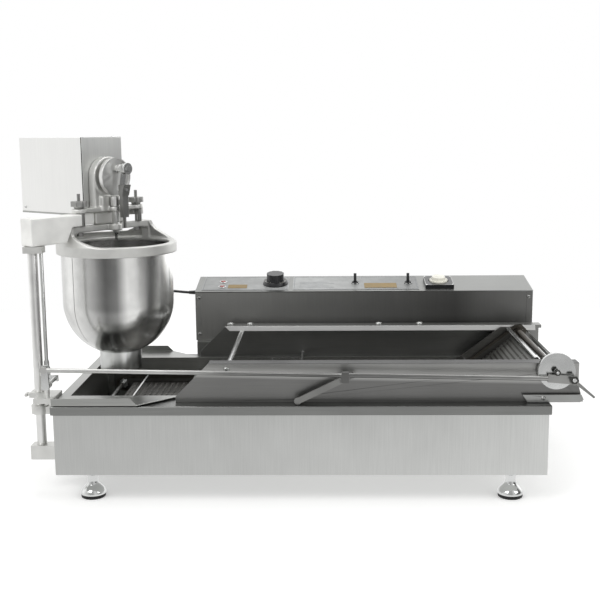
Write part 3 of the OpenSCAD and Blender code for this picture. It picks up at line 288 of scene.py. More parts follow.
# %% [markdown]
# ## Round and cast metal
# Turned shafts and screws are ground bright and reflect sharply. The hopper is spun on a lathe:
# its scratches run round it, so its highlights stand up as tall bands. The head is sand-cast
# aluminium, tumbled to a fine grain, which is matt and has no direction at all.
# %% Turned, spun and cast metal
def grained_metal(name, tone, rough, grain_mm, depth, spots=0.06, anisotropic=0.0, metallic=1.0,
                  painted_fades=(), columns=(), full_mm=-50):
    """A metal with an even grain: ground steel, castings, chrome plate and bronze."""
    made, tree = empty_material(name)
    base = linear(tone)
    coords = add(tree, "ShaderNodeTexCoord").outputs["Object"]
    grain = add(tree, "ShaderNodeTexNoise", {"Scale": 1 / (grain_mm * MM), "Detail": 3, "Roughness": 0.6},
                {"Vector": coords})
    patches = add(tree, "ShaderNodeTexNoise", {"Scale": 1 / (35 * MM), "Detail": 2, "Roughness": 0.5},
                  {"Vector": coords})
    colour = add(tree, "ShaderNodeValToRGB", links={"Fac": patches.outputs["Fac"]},
                 stops=[(0.35, shaded(base, 1 - spots)), (0.65, shaded(base, 1 + spots))]).outputs["Color"]
    for direction, stops in painted_fades:
        colour = painted_light_fade(tree, coords, colour, direction, stops)
    if columns:
        colour = painted_reflection_columns(tree, coords, colour, columns, full_mm)
    dull = add(tree, "ShaderNodeMapRange", {"To Min": max(0.03, rough - 0.05), "To Max": rough + 0.05},
               {"Value": patches.outputs["Fac"]})
    bump = add(tree, "ShaderNodeBump", {"Strength": depth, "Distance": 0.0003},
               {"Height": grain.outputs["Fac"]})
    values = {"Metallic": metallic, "Anisotropic": anisotropic}
    links = {"Base Color": colour, "Roughness": dull.outputs[0], "Normal": bump.outputs[0]}
    if anisotropic:
        values["Anisotropic Rotation"] = 0.25
        links["Tangent"] = add(tree, "ShaderNodeTangent", direction_type="RADIAL", axis="Z").outputs[0]
    metal = add(tree, "ShaderNodeBsdfPrincipled", values, links)
    add(tree, "ShaderNodeOutputMaterial", links={"Surface": metal.outputs[0]})
    finishes[name] = made


# Ground bars: pale, with soft reflections.
grained_metal("ground_steel", "#DADBDA", 0.2, 1.2, 0.05)
# Polished or chromed pieces: as pale, with sharp reflections.
grained_metal("bright_steel", "#DADBDA", 0.14, 1.5, 0.04)
# Spun steel: its bands come from the room's light and dark sides. A rough reflection alone blurs them, so
# part of them is painted reflection in the colour, as factors at bearings: 0.25 is the front, 0.5 the
# right. The nozzle has painted reflection bands of its own.
BOWL_BANDS = [(0.0, 0.6), (0.06, 0.66), (0.1, 0.8), (0.145, 0.88), (0.184, 0.74), (0.218, 0.56),
              (0.248, 0.26), (0.277, 0.4), (0.307, 1.1), (0.336, 1.22), (0.352, 0.8), (0.368, 0.57),
              (0.405, 0.8), (0.452, 1.22), (0.503, 0.9), (0.53, 0.6)]
NOZZLE_BANDS = [(0.108, 0.8), (0.189, 1.0), (0.225, 1.4), (0.271, 1.25), (0.322, 1.45), (0.371, 0.8),
                (0.443, 0.35)]
grained_metal("spun_steel", "#E8E8E6", 0.23, 1.0, 0.03, anisotropic=0.6, columns=BOWL_BANDS, full_mm=270)
grained_metal("spun_nozzle_steel", "#D6D7D5", 0.3, 1.0, 0.03, anisotropic=0.5, columns=NOZZLE_BANDS)
# Turned disc, sleeve and post: pale, softer than polished.
grained_metal("turned_steel", "#E4E4E2", 0.32, 1.0, 0.05)
# Sand-cast aluminium: matt and pale, with an open grain.
grained_metal("cast_aluminium", "#DADAD7", 0.48, 1.1, 0.25)
# Tumbled aluminium: chalky, for its skin scatters more light than it mirrors.
grained_metal("tumbled_aluminium", "#F0F0ED", 0.5, 1.1, 0.2, metallic=0.35)
# Machined aluminium: satin, with a faint grain.
grained_metal("turned_aluminium", "#CFCFCC", 0.42, 1.0, 0.12, metallic=0.6)
# Knurled knobs: mid grey, painted shade for the knurl's grooves, which are not modelled.
grained_metal("knurled_steel", "#A2A2A0", 0.4, 0.9, 0.3)
# Blackened gear motor and nuts: nearly black; the same colour paints the shade in the screws' cross
# recesses.
grained_metal("blackened_steel", "#4A4A48", 0.4, 1.3, 0.2)
# Cold-drawn rod: painted light at its left end, painted shade along its middle.
grained_metal("drawn_steel", "#A2A2A0", 0.3, 1.3, 0.06,
              painted_fades=[(ACROSS, [(-430, 1.7), (-240, 1.45), (-120, 0.55), (40, 0.38), (300, 0.7),
                               (480, 1.1)])])
# Milled levers and studs: dark grey with soft reflections.
grained_metal("milled_steel", "#8C8C8A", 0.36, 1.2, 0.12)
# Zinc plate: a cool mid grey.
grained_metal("zinc_plate", "#A6A7A5", 0.3, 1.1, 0.08)
# Oiled chain and its shaft: dark and brownish.
grained_metal("chain_steel", "#57534D", 0.35, 1.6, 0.2, spots=0.2)
# Bearing bronze: brown-yellow.
grained_metal("bronze", "#B08D57", 0.35, 1.2, 0.1)
# Heater sheaths: dark and dull from heat.
grained_metal("heater_alloy", "#554C45", 0.5, 1.0, 0.2)
print("finishes:", sorted(finishes))

# %% [markdown]
# ## Plastics, rubber and printed film
# Knobs and switch bats are black moulded plastic with a slight sheen, the feet stand on nitrile
# rubber, and the labels on the control panel are printed polyester film. All of them reflect about
# four parts in a hundred at their face, so one function with an IOR of 1.5 makes them, and only
# the colour, the grain and the gloss differ.
# %% Plastics and rubber
def moulded(name, tone, rough, grain_mm, depth, specular=0.5, coat=0.0, painted_fades=()):
    """A plastic or rubber whose skin has a fine moulded grain."""
    made, tree = empty_material(name)
    base = linear(tone)
    coords = add(tree, "ShaderNodeTexCoord").outputs["Object"]
    grain = add(tree, "ShaderNodeTexNoise", {"Scale": 1 / (grain_mm * MM), "Detail": 2},
                {"Vector": coords})
    wear = add(tree, "ShaderNodeTexNoise", {"Scale": 1 / (18 * MM), "Detail": 3}, {"Vector": coords})
    colour = add(tree, "ShaderNodeValToRGB", links={"Fac": wear.outputs["Fac"]},
                 stops=[(0.35, shaded(base, 0.88)), (0.65, shaded(base, 1.1))]).outputs["Color"]
    for direction, stops in painted_fades:
        colour = painted_light_fade(tree, coords, colour, direction, stops)
    dull = add(tree, "ShaderNodeMapRange", {"To Min": rough - 0.06, "To Max": rough + 0.08},
               {"Value": wear.outputs["Fac"]})
    bump = add(tree, "ShaderNodeBump", {"Strength": depth, "Distance": 0.0002},
               {"Height": grain.outputs["Fac"]})
    skin = add(tree, "ShaderNodeBsdfPrincipled",
               {"Metallic": 0.0, "IOR": 1.5, "Specular IOR Level": specular, "Coat Weight": coat},
               {"Base Color": colour, "Roughness": dull.outputs[0], "Normal": bump.outputs[0]})
    add(tree, "ShaderNodeOutputMaterial", links={"Surface": skin.outputs[0]})
    finishes[name] = made


# Phenolic knobs: black, slightly glossy.
moulded("black_phenolic", "#1D1E20", 0.3, 0.8, 0.1, coat=0.2)
# Nitrile rubber: black and matt.
moulded("nitrile_rubber", "#1F1F1F", 0.65, 0.7, 0.3, specular=0.3)
# PVC sheath: black, half matt.
moulded("cable_pvc", "#161616", 0.42, 0.9, 0.1)
# Polyester film: pale grey and half glossy, with painted shade towards both ends.
moulded("printed_film", "#B6B8B7", 0.38, 1.5, 0.05,
        painted_fades=[(ACROSS, [(-160, 0.64), (20, 0.81), (230, 0.46)])])
# The same film with an amber ground.
moulded("amber_film", "#836A2E", 0.4, 1.5, 0.05)
# Screen-printed ink: a flat mid grey.
moulded("printed_grey", "#6C6F74", 0.4, 1.5, 0.05)
# Acrylic lamp lenses: deep red and glossy.
moulded("red_acrylic", "#93231B", 0.18, 1.2, 0.03, coat=0.5)
# Moulded ABS dial: ivory with a soft gloss.
moulded("ivory_plastic", "#E3E1D5", 0.3, 0.9, 0.05, coat=0.2)
print("finishes:", len(finishes))

# %% [markdown]
# ## A small set of mesh tools
# Most of what follows is a plate, a bar, or a turned piece. A turned piece comes from its half
# outline swept round an axis, a bar from a polygon drawn out along a line. Each tool adds to one
# bmesh, so a piece with many parts is still a single object with a single name.
# %% Mesh tools
def block(bm, low, high, place=spot, slot=0):
    """A box between two corners given in millimetres."""
    corners = [bm.verts.new(place(*(high[i] if pick >> i & 1 else low[i] for i in range(3))))
               for pick in range(8)]
    for face in ((0, 2, 3, 1), (4, 5, 7, 6), (0, 1, 5, 4), (2, 6, 7, 3), (0, 4, 6, 2), (1, 3, 7, 5)):
        bm.faces.new([corners[i] for i in face]).material_index = slot


def frame_at(centre, axis):
    """A matrix whose Z points along axis at centre."""
    turn = Vector((0, 0, 1)).rotation_difference(Vector(axis)).to_matrix().to_4x4()
    return Matrix.Translation(centre) @ turn


def turned(bm, profile, place, sides=48, slots=None):
    """A lathe piece from (radius, height) points in millimetres; it closes itself on the axis."""
    rings = []
    for radius, height in profile:
        if radius < 1e-6:
            rings.append([bm.verts.new(place @ Vector((0, 0, height * MM)))])
        else:
            rings.append([bm.verts.new(place @ Vector((radius * MM * math.cos(k * math.tau / sides),
                                                       radius * MM * math.sin(k * math.tau / sides),
                                                       height * MM))) for k in range(sides)])
    for index, (one, two) in enumerate(zip(rings, rings[1:])):
        for k in range(sides):
            n = (k + 1) % sides
            corners = [one[k % len(one)], one[n % len(one)], two[n % len(two)], two[k % len(two)]]
            loop = list(dict.fromkeys(corners))
            if len(loop) > 2:
                bm.faces.new(loop).material_index = slots[index] if slots else 0


def bar(bm, start, end, radius, sides):
    """A round bar in metres between two places, closed at both ends; radius in millimetres."""
    length = (end - start).length / MM
    turned(bm, [(0, 0), (radius, 0), (radius, length), (0, length)], frame_at(start, end - start), sides)


def piece(name, bm, material, body, smooth_deg=32, bevel_mm=0.0):
    """Makes the named object from a bmesh, gives it its materials, and lets it ride on its body."""
    bmesh.ops.recalc_face_normals(bm, faces=bm.faces)
    mesh = bpy.data.meshes.new(name)
    bm.to_mesh(mesh)
    bm.free()
    made = bpy.data.objects.new(name, mesh)
    bpy.context.scene.collection.objects.link(made)
    for slot in material if isinstance(material, (list, tuple)) else [material]:
        mesh.materials.append(finishes[slot])
    if bevel_mm:
        rounding(made, bevel_mm)
    mesh.shade_smooth()
    mesh.set_sharp_from_angle(angle=math.radians(smooth_deg))
    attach(made, body)
    return made


def rounding(obj, width_mm):
    """Rounds an object's edges, as a press brake or a file leaves them."""
    bevel = obj.modifiers.new("rounded edges", "BEVEL")
    bevel.width = width_mm * MM
    bevel.segments = 2
    bevel.limit_method = "ANGLE"
    bevel.angle_limit = math.radians(34)
    bevel.harden_normals = False


print("mesh tools ready")

# %% [markdown]
# ## Finishes for the construction parts
# Parts whose solid is already right keep it and only get their finish. A folded sheet never has
# a knife edge: its bends have a radius of about its own thickness. The loaded meshes come with
# split corners, so a weld joins them first, and a small bevel then gives the edges something to
# catch the light with. The table gives each finish its parts, with their bevels in millimetres.
# %% Dress the construction parts
DRESS = {
    "brushed_steel_walls": {"casing": 0.9}, "brushed_steel_rim": {"casing_rim": 1.6},
    "brushed_steel_tank": {"tank": 0.5, "incline_mesh": 0, "exit_chute": 0.4, "box_brackets": 0.5,
                           "motor_base": 0.4}, "nitrile_rubber": {"flange_pads": 0},
    "heater_alloy": {"heating_elements": 0}, "brushed_steel_plates": {"front_side_plate": 0.8},
    "brushed_steel_rear": {"rear_side_plate": 0.8},
    "ground_steel": {"tie_bar": 0, "flight_bars": 0.3, "idler_shaft": 0, "flipper_grid": 0,
                     "bell_crank": 0.5, "levelling_feet": 0},
    "bright_steel": {"body_screws": 0, "index_disc": 0.6, "push_rod": 0.4, "crank_link": 0.8,
                     "plunger_rod": 0.3, "dough_cutter": 0.3},
    "dull_steel_conveyor": {"chain_guides": 0.3, "bed_plate": 0.3},
    "chain_steel": {"drive_chains": 0, "drive_shaft": 0.3}, "zinc_plate": {"exit_bracket": 0.4},
    "bronze": {"shaft_bushes": 0}, "drawn_steel": {"long_rod": 0.5},
    "milled_steel": {"lock_handle": 0.3, "flipper_lever": 0.5, "crosshead": 0.8, "clamp_studs": 0},
    "brushed_steel_box": {"control_box": 0.9}, "brushed_steel_panel": {"control_panel": 0.6},
    "black_phenolic": {"cable_glands": 0.3, "panel_fittings": 0.4, "thermostat_knob": 0.5,
                       "toggle_left": 0.3, "toggle_right": 0.3}, "cable_pvc": {"motor_cable": 0},
    "turned_steel": {"post": 0.5, "crank_disc": 0.5, "guide_tube": 0.4},
    "cast_aluminium": {"post_brackets": 1.2, "lever_bracket": 0.8, "head_casting": 1.4,
                       "hopper_ring": 1.8}, "tumbled_aluminium": {"head_arm": 1.6},
    "satin_steel_cover": {"motor_cover": 1.0}, "satin_steel_face": {"motor_face": 0.5},
    "blackened_steel": {"gear_motor": 1.0}, "spun_steel": {"hopper_bowl": 0},
    "spun_nozzle_steel": {"hopper_nozzle": 0.4},
    "knurled_steel": {"clamp_knob_left": 0.6, "clamp_knob_right": 0.6},
    "printed_film": {"panel_plates": 0.2}, "red_acrylic": {"signal_lamps": 0},
    "ivory_plastic": {"timer_dial": 0.4},
}


def dress(node, finish, bevel_mm):
    """Gives a construction part its finish, welds its corners and rounds its edges."""
    part = frame["nodes"][node]
    part.data.materials.clear()
    part.data.materials.append(finishes[finish])
    weld = part.modifiers.new("welded corners", "WELD")
    weld.merge_threshold = 0.00001
    if bevel_mm:
        rounding(part, bevel_mm)


dressed = set()
for finish, parts in DRESS.items():
    for node, bevel_mm in parts.items():
        dress(node, finish, bevel_mm)
        dressed.add(node)
print("dressed", len(dressed), "undressed", sorted(set(frame["nodes"]) - dressed))

# %% [markdown]
# ## Reading places from the parts
# A piece that replaces or trims a part takes its place from that part's own box, and rides on the
# body that carries it, so that it moves where the real one would.
# %% Part lookups
def home(node):
    """The body that carries a construction part."""
    return frame["nodes"][node]["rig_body"]


def edges(node):
    """A part's lowest and highest corner in millimetres from the casing's datum."""
    low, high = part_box(node)
    return (low - datum) / MM, (high - datum) / MM


def stand_for(made, node):
    """Hides a construction part whose place a piece takes, and returns the piece."""
    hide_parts(node)
    return made


def circle_points(radius, start_deg, end_deg, steps, centre=(0, 0)):
    """Points on an arc, from one angle to another."""
    return [(centre[0] + radius * math.cos(math.radians(start_deg + (end_deg - start_deg) * k / steps)),
             centre[1] + radius * math.sin(math.radians(start_deg + (end_deg - start_deg) * k / steps)))
            for k in range(steps + 1)]


print("tank box", edges("tank"))

# %% [markdown]
# ## Hopper
# The hopper is one disc of steel, spun over a former into a cylinder with a round bottom, and
# brushed while it turned. A mirror-like curve shows every flat of a coarse model, so the half
# outline is swept again with 192 sides, and its mouth gets the rolled edge of the real one.
# %% Spun hopper
bowl_low, bowl_high = edges("hopper_bowl")
BOWL_R = (bowl_high.x - bowl_low.x) / 2
BOWL_TOP = bowl_high.z
BOWL_BEND = 340
SHEET = 1.5
nozzle_edges = edges("hopper_nozzle")
NOZZLE_R = (nozzle_edges[1].x - nozzle_edges[0].x) / 2
MEET = 90 - math.degrees(math.asin(NOZZLE_R / BOWL_R))


def bowl_outline(radius):
    """The round bottom's half outline, from its bend down to the nozzle."""
    return [(x, z + BOWL_BEND) for x, z in circle_points(radius, 0, -MEET, 40)]


bm = bmesh.new()
lip = [(BOWL_R - SHEET, BOWL_TOP - 1), (BOWL_R - SHEET, BOWL_TOP - 0.3), (BOWL_R - SHEET / 2, BOWL_TOP),
       (BOWL_R, BOWL_TOP - 0.3), (BOWL_R, BOWL_TOP - 1)]
turned(bm, lip + bowl_outline(BOWL_R) + bowl_outline(BOWL_R - SHEET)[::-1] + lip[:1], HEAD, 192)
stand_for(piece("spun_hopper", bm, "spun_steel", home("hopper_bowl")), "hopper_bowl")
print("hopper radius", BOWL_R, "mm, meets the nozzle at", MEET)

# %% [markdown]
# The hopper's wall was rolled and welded before the bottom was spun on, and the ground weld still
# shows as one thin dark line. It is a ribbon that follows the outline a hair's breadth outside.
# %% Hopper seam
SEAM_BEARING = math.radians(-93)
bm = bmesh.new()
seam_line = [(BOWL_R + 0.12, BOWL_TOP - 14)] + [(r + 0.12, z) for r, z in bowl_outline(BOWL_R)[:26]]
for (r0, z0), (r1, z1) in zip(seam_line, seam_line[1:]):
    corners = []
    for r, z, side in ((r0, z0, -1), (r0, z0, 1), (r1, z1, 1), (r1, z1, -1)):
        a = SEAM_BEARING + side * 0.55 / BOWL_R
        corners.append(bm.verts.new(head_spot(r * math.cos(a), r * math.sin(a), z)))
    bm.faces.new(corners)
piece("hopper_seam", bm, "dull_steel_conveyor", home("hopper_bowl"))
print("seam of", len(seam_line), "points")

# %% [markdown]
# ## Levelling feet
# Each foot is turned in one go: a chromed column that flares into a dome, a dark washer at its top,
# and a rubber pad moulded under the dome. One lathe outline with two finishes makes all of it, and
# the four feet are one object.
# %% Feet
FOOT = [((0, 0), 1), ((20.5, 0), 1), ((22.2, 1.2), 1), ((22.6, 6.5), 1), ((23, 7), 0), ((23, 9.5), 0),
        ((22, 12.5), 0), ((19.5, 16.5), 0), ((15.5, 20.5), 0), ((12.2, 24), 0), ((10.3, 28), 0),
        ((9.5, 33), 0), ((9.8, 38), 0), ((11.2, 42.5), 0), ((13.5, 46), 0), ((14.6, 47.2), 1),
        ((15, 47.6), 1), ((15, 51.2), 1), ((15.8, 51.6), 0), ((16, 52.2), 0), ((16, 55), 0), ((0, 55), 0)]
feet_low, feet_high = edges("levelling_feet")
FOOT_R = 23
bm = bmesh.new()
for x in (feet_low.x + FOOT_R, feet_high.x - FOOT_R):
    for y in (feet_low.y + FOOT_R, feet_high.y - FOOT_R):
        turned(bm, [point for point, _ in FOOT], Matrix.Translation(spot(x, y, 0)), 64,
               [finish for _, finish in FOOT])
stand_for(piece("turned_feet", bm, ["bright_steel", "nitrile_rubber"], home("levelling_feet"), 40),
          "levelling_feet")
print("feet at", feet_low.x + FOOT_R, feet_high.x - FOOT_R)

# %% [markdown]
# ## Perforated bed
# The doughnuts ride over a sheet punched with rows of holes that let the oil rise. Each hole is
# real: the sheet is laid out as square cells, each a square with an octagon cut from it, welded to
# its neighbours and given its thickness by a solidify modifier.
# %% Bed sheet
bed_low, bed_high = edges("bed_plate")
PITCH = 11.5
HOLE_R = 3.4
BED_T = 1.5
bm = bmesh.new()
bed_y0, bed_y1 = bed_low.y + 4, bed_high.y - 4
columns = int((bed_high.x - bed_low.x) // PITCH)
rows = int((bed_y1 - bed_y0) // PITCH)
left = (bed_low.x + bed_high.x - columns * PITCH) / 2
front = (bed_y0 + bed_y1 - rows * PITCH) / 2
half = PITCH / 2
for column in range(columns):
    for row in range(rows):
        cx, cy = left + (column + 0.5) * PITCH, front + (row + 0.5) * PITCH
        square = [bm.verts.new(spot(cx + sx * half, cy + sy * half, bed_high.z))
                  for sx, sy in ((1, 1), (-1, 1), (-1, -1), (1, -1))]
        hole = [bm.verts.new(spot(x, y, bed_high.z))
                for x, y in circle_points(HOLE_R, 22.5, 337.5, 7, (cx, cy))]
        for k in range(4):
            bm.faces.new([square[k], hole[2 * k + 1], hole[2 * k]])
            bm.faces.new([square[k], square[(k + 1) % 4], hole[(2 * k + 2) % 8], hole[2 * k + 1]])
bmesh.ops.remove_doubles(bm, verts=bm.verts, dist=0.00002)
bed = piece("perforated_bed", bm, "dull_steel_conveyor", home("bed_plate"))
thick = bed.modifiers.new("sheet thickness", "SOLIDIFY")
thick.thickness = BED_T * MM
thick.offset = 0
stand_for(bed, "bed_plate")
bm = bmesh.new()
for y in (bed_low.y, bed_high.y - 5):
    block(bm, (bed_low.x, y, bed_low.z), (bed_high.x, y + 5, bed_high.z - 1))
for k in range(3):
    x = bed_low.x + 30 + k * (bed_high.x - bed_low.x - 68) / 2
    block(bm, (x, bed_low.y, bed_low.z), (x + 8, bed_high.y, bed_high.z - 1.5))
piece("bed_frame", bm, "dull_steel_conveyor", home("bed_plate"))
print("holes:", columns * rows)

# %% [markdown]
# ## Roller chains
# Two roller chains carry the flight bars. A chain is a row of equal links, so one function lays a
# pin, a roller and two plates at each pitch along the path, and the path is worked out from the
# three shafts' places: round the idler, along the tank's floor, up the slope and over the top.
# %% Chain path
chain_low, chain_high = edges("drive_chains")
shaft_low, shaft_high = edges("index_disc")
idler_low, idler_high = edges("idler_shaft")
CHAIN_MID = 13.5
CHAIN_PITCH = 12.7
SLOPE = 38
top_x, top_z = (shaft_low.x + shaft_high.x) / 2, (shaft_low.z + shaft_high.z) / 2
idle_x, idle_z = (idler_low.x + idler_high.x) / 2, (idler_low.z + idler_high.z) / 2
foot_x = top_x - (top_z - idle_z) / math.tan(math.radians(SLOPE))
inner_x = foot_x - CHAIN_MID * math.tan(math.radians(SLOPE / 2))
path_points = circle_points(CHAIN_MID, 90, 270, 14, (idle_x, idle_z))
path_points += circle_points(CHAIN_MID, -90, SLOPE - 90, 6, (foot_x, idle_z))
path_points += circle_points(CHAIN_MID, SLOPE - 90, SLOPE + 90, 14, (top_x, top_z))
path_points += [(inner_x, idle_z + CHAIN_MID), path_points[0]]


def evenly(points, pitch):
    """Places along a closed path, each a pitch apart, with the pitch trimmed to close it."""
    lengths = [math.dist(a, b) for a, b in zip(points, points[1:])]
    count = round(sum(lengths) / pitch)
    step = sum(lengths) / count
    found, walked, index = [], 0.0, 0
    for k in range(count):
        while walked + lengths[index] < k * step:
            walked += lengths[index]
            index += 1
        part = (k * step - walked) / lengths[index]
        (ax, az), (bx, bz) = points[index], points[index + 1]
        found.append((ax + (bx - ax) * part, az + (bz - az) * part))
    return found


pins = evenly(path_points, CHAIN_PITCH)
print("links in each chain:", len(pins))

# %% [markdown]
# A link is two stamped plates and a hardened roller on a pin. Inner and outer links take turns, so
# every second pair of plates sits further in by its own thickness. Plates and rollers are drawn
# without their rivet heads, which are too small to see here.
# %% Chain links
PLATE_R = 2.9
PLATE_T = 0.9
ROLLER_R = 2.2
CHAIN_W = 6


def link_plate(bm, one, two, y):
    """A side plate with round ends about two pins, drawn through its thickness at y."""
    angle = math.degrees(math.atan2(two[1] - one[1], two[0] - one[0]))
    outline = circle_points(PLATE_R, angle + 90, angle + 270, 4, one)
    outline += circle_points(PLATE_R, angle - 90, angle + 90, 4, two)
    near = [bm.verts.new(spot(x, y, z)) for x, z in outline]
    far = [bm.verts.new(spot(x, y + PLATE_T, z)) for x, z in outline]
    bm.faces.new(near)
    bm.faces.new(far[::-1])
    for k in range(len(outline)):
        n = (k + 1) % len(outline)
        bm.faces.new([near[n], near[k], far[k], far[n]])


bm = bmesh.new()
for chain_y in (chain_low.y, chain_high.y - CHAIN_W):
    for k, pin in enumerate(pins):
        after = pins[(k + 1) % len(pins)]
        inset = 0 if k % 2 else PLATE_T
        link_plate(bm, pin, after, chain_y + inset)
        link_plate(bm, pin, after, chain_y + CHAIN_W - PLATE_T - inset)
        bar(bm, spot(pin[0], chain_y + 2 * PLATE_T, pin[1]),
            spot(pin[0], chain_y + CHAIN_W - 2 * PLATE_T, pin[1]), ROLLER_R, 10)
stand_for(piece("roller_chains", bm, "chain_steel", home("drive_chains")),
          "drive_chains")
print("chain pieces done")

# %% [markdown]
# ## Castings
# Sand castings have no sharp inside corners: the pattern maker fills them with wax so that the
# metal flows. The solids of the head, the arm and the ring are therefore remeshed in small cubes
# and then relaxed, which melts fillets into every corner, and each takes its part's place.
# %% Cast head and arm
def cast(node, name, cube_mm, passes, material):
    """A casting with melted corners, made from a construction part's own mesh."""
    made = bpy.data.objects.new(name, frame["nodes"][node].data.copy())
    bpy.context.scene.collection.objects.link(made)
    weld = made.modifiers.new("weld", "WELD")
    weld.merge_threshold = 0.00001
    cubes = made.modifiers.new("cubes", "REMESH")
    cubes.mode = "VOXEL"
    cubes.voxel_size = cube_mm * MM
    relax = made.modifiers.new("relax", "SMOOTH")
    relax.factor = 0.5
    relax.iterations = passes
    shaped = bpy.data.meshes.new_from_object(made.evaluated_get(bpy.context.evaluated_depsgraph_get()))
    made.modifiers.clear()
    made.data = shaped
    shaped.materials.clear()
    shaped.materials.append(finishes[material])
    shaped.shade_smooth()
    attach(made, home(node))
    return stand_for(made, node)


cast("head_casting", "cast_head", 1.4, 14, "cast_aluminium")
cast("head_arm", "cast_arm", 1.6, 8, "tumbled_aluminium")
cast("hopper_ring", "cast_ring", 1.4, 6, "turned_aluminium")

# %% [markdown]
# ## Motor box
# The box over the arm is a folded cover with a grey face plate, and a black gasket shows between
# them as a fine dark line. Its cover is held by pan head screws.
# %% Motor box trim
COVER_END = -33
BOX_HALF = 50
PROUD = 0.4
BOX_FOOT, BOX_TOP = (corner.z for corner in edges("motor_cover"))
seam_out, face_in = COVER_END - 1.2, COVER_END + 0.6
bm = bmesh.new()
block(bm, (seam_out, -BOX_HALF - PROUD, BOX_FOOT), (face_in, -BOX_HALF + 1, BOX_TOP + PROUD), head_spot)
block(bm, (seam_out, BOX_HALF - 1, BOX_FOOT), (face_in, BOX_HALF + PROUD, BOX_TOP + PROUD), head_spot)
block(bm, (seam_out, -BOX_HALF, BOX_TOP - 1), (face_in, BOX_HALF, BOX_TOP + PROUD), head_spot)
piece("face_gasket", bm, "nitrile_rubber", home("motor_cover"))


def pan_head(bm, centre, axis, radius):
    """A domed screw head, seated at centre and facing along axis; its cross recess is painted shade, a
    dark cross in the dome.
    """
    place = frame_at(centre, axis)
    dome = radius * 0.55
    arc = [(radius * math.cos(a), dome * math.sin(a)) for a in map(math.radians, (0, 20, 40, 60, 78))]
    turned(bm, [(0, -0.3), (radius, -0.3)] + arc + [(0, dome)], place, 28)
    # The cross recess is not cut: a dark cross set into the dome's top is painted shade.
    for turn in (20, 110):
        cross_turn = place @ Matrix.Rotation(math.radians(turn), 4, "Z")

        def slot_spot(x, y, z):
            return cross_turn @ (Vector((x, y, z)) * MM)

        block(bm, (-radius * 0.5, -radius * 0.09, radius * 0.4),
              (radius * 0.5, radius * 0.09, radius * 0.56), slot_spot, 1)


bm = bmesh.new()
side = head_spot(0, -1, 0) - head_spot(0, 0, 0)
for out in (-209, -50):
    pan_head(bm, head_spot(out, -BOX_HALF, BOX_FOOT + 8), side, 3)
    pan_head(bm, head_spot(out, BOX_HALF, BOX_FOOT + 8), -side, 3)
pan_head(bm, head_spot(-38, 34, BOX_TOP), (0, 0, 1), 4)
piece("cover_screws", bm, ["bright_steel", "blackened_steel"], home("motor_cover"))
print("motor box trimmed")

# %% [markdown]
# ## Screws on the body
# The side plates and the control box are held by domed screws with a cross recess. The solids are plain
# domes, so each is turned again, with its recess as painted shade: a dark cross.
# %% Body screws
plate_low, plate_high = edges("front_side_plate")
rear_low, rear_high = edges("rear_side_plate")
box_low, box_high = edges("control_box")
BOX_FRONT_TOP = 316
CAP_T = 0.8
RIM_SCREWS = (-157, -115, 161, 248)
tie_low, tie_high = edges("tie_bar")
tie_x, tie_z = (tie_low.x + tie_high.x) / 2, (tie_low.z + tie_high.z) / 2
bm = bmesh.new()
pan_head(bm, spot(tie_x, plate_low.y, tie_z), (0, -1, 0), 6)
pan_head(bm, spot(tie_x, rear_high.y, tie_z), (0, 1, 0), 6)
for x in RIM_SCREWS:
    pan_head(bm, spot(x, rear_high.y - 7, rear_high.z), (0, 0, 1), 8)
for x in (plate_low.x + 12, plate_high.x - 79):
    pan_head(bm, spot(x, rear_high.y, rear_low.z + 14), (0, 1, 0), 5)
for z in (box_low.z + 14, BOX_FRONT_TOP - 12):
    for x in (box_low.x + 8, box_high.x - 8):
        pan_head(bm, spot(x, box_low.y - CAP_T, z), (0, -1, 0), 4)
stand_for(piece("recessed_screws", bm, ["zinc_plate", "blackened_steel"], home("body_screws")),
          "body_screws")
print("screws done")

# %% [markdown]
# ## Conveyor fittings
# The rear side plate carries a leaning strip along its top edge, which catches the light. A thin
# tray closes the slope from below, and a bar runs across beside the drive shaft. The two pins at
# the rod's end have dark nuts on bright studs.
# %% Conveyor fittings
def sheet_between(bm, near, far, near_drop, far_drop):
    """A sheet from one pair of places to another, with its underside moved off by the drops."""
    rows = [(place, near_drop) for place in near] + [(place, far_drop) for place in far[::-1]]
    top = [bm.verts.new(spot(*place)) for place, _ in rows]
    under = [bm.verts.new(spot(*(a + b for a, b in zip(place, drop)))) for place, drop in rows]
    bm.faces.new(top)
    bm.faces.new(under[::-1])
    for k in range(4):
        n = (k + 1) % 4
        bm.faces.new([top[k], top[n], under[n], under[k]])


STRIP_END = 490
STRIP_FOOT, STRIP_HEAD = -157, -168
strip_y, strip_z = rear_low.y - 3.6, rear_high.z - 10.5
bm = bmesh.new()
sheet_between(bm, [(STRIP_FOOT, strip_y, strip_z), (STRIP_END, strip_y, strip_z)],
              [(STRIP_HEAD, strip_y + 2, strip_z + 10), (STRIP_END, strip_y + 2, strip_z + 10)],
              (0, 1.2, -0.4), (0, 1.2, -0.3))
# Its bright finish is painted light.
piece("rear_plate_strip", bm, "brushed_steel_lip", home("rear_side_plate"), bevel_mm=0.3)
mesh_low, mesh_high = edges("incline_mesh")
TRAY_T = 1.5
tray_y0, tray_y1 = mesh_low.y + 2, mesh_high.y - 2
foot_end, head_end = (mesh_low.x + 4, mesh_low.z - 4), (mesh_high.x + 2, mesh_high.z + 2)
bm = bmesh.new()
sheet_between(bm, [(foot_end[0], y, foot_end[1]) for y in (tray_y0, tray_y1)],
              [(head_end[0], y, head_end[1]) for y in (tray_y0, tray_y1)],
              (0, 0, -TRAY_T), (0, 0, -TRAY_T))
piece("slope_tray", bm, "dull_steel_conveyor", home("incline_mesh"), bevel_mm=0.3)
BAR_X, BAR_Z = 430, 249
bm = bmesh.new()
bar(bm, spot(BAR_X, mesh_low.y + 8, BAR_Z), spot(BAR_X, mesh_high.y - 8, BAR_Z), 4.5, 24)
piece("tray_bar", bm, "bright_steel", home("incline_mesh"))


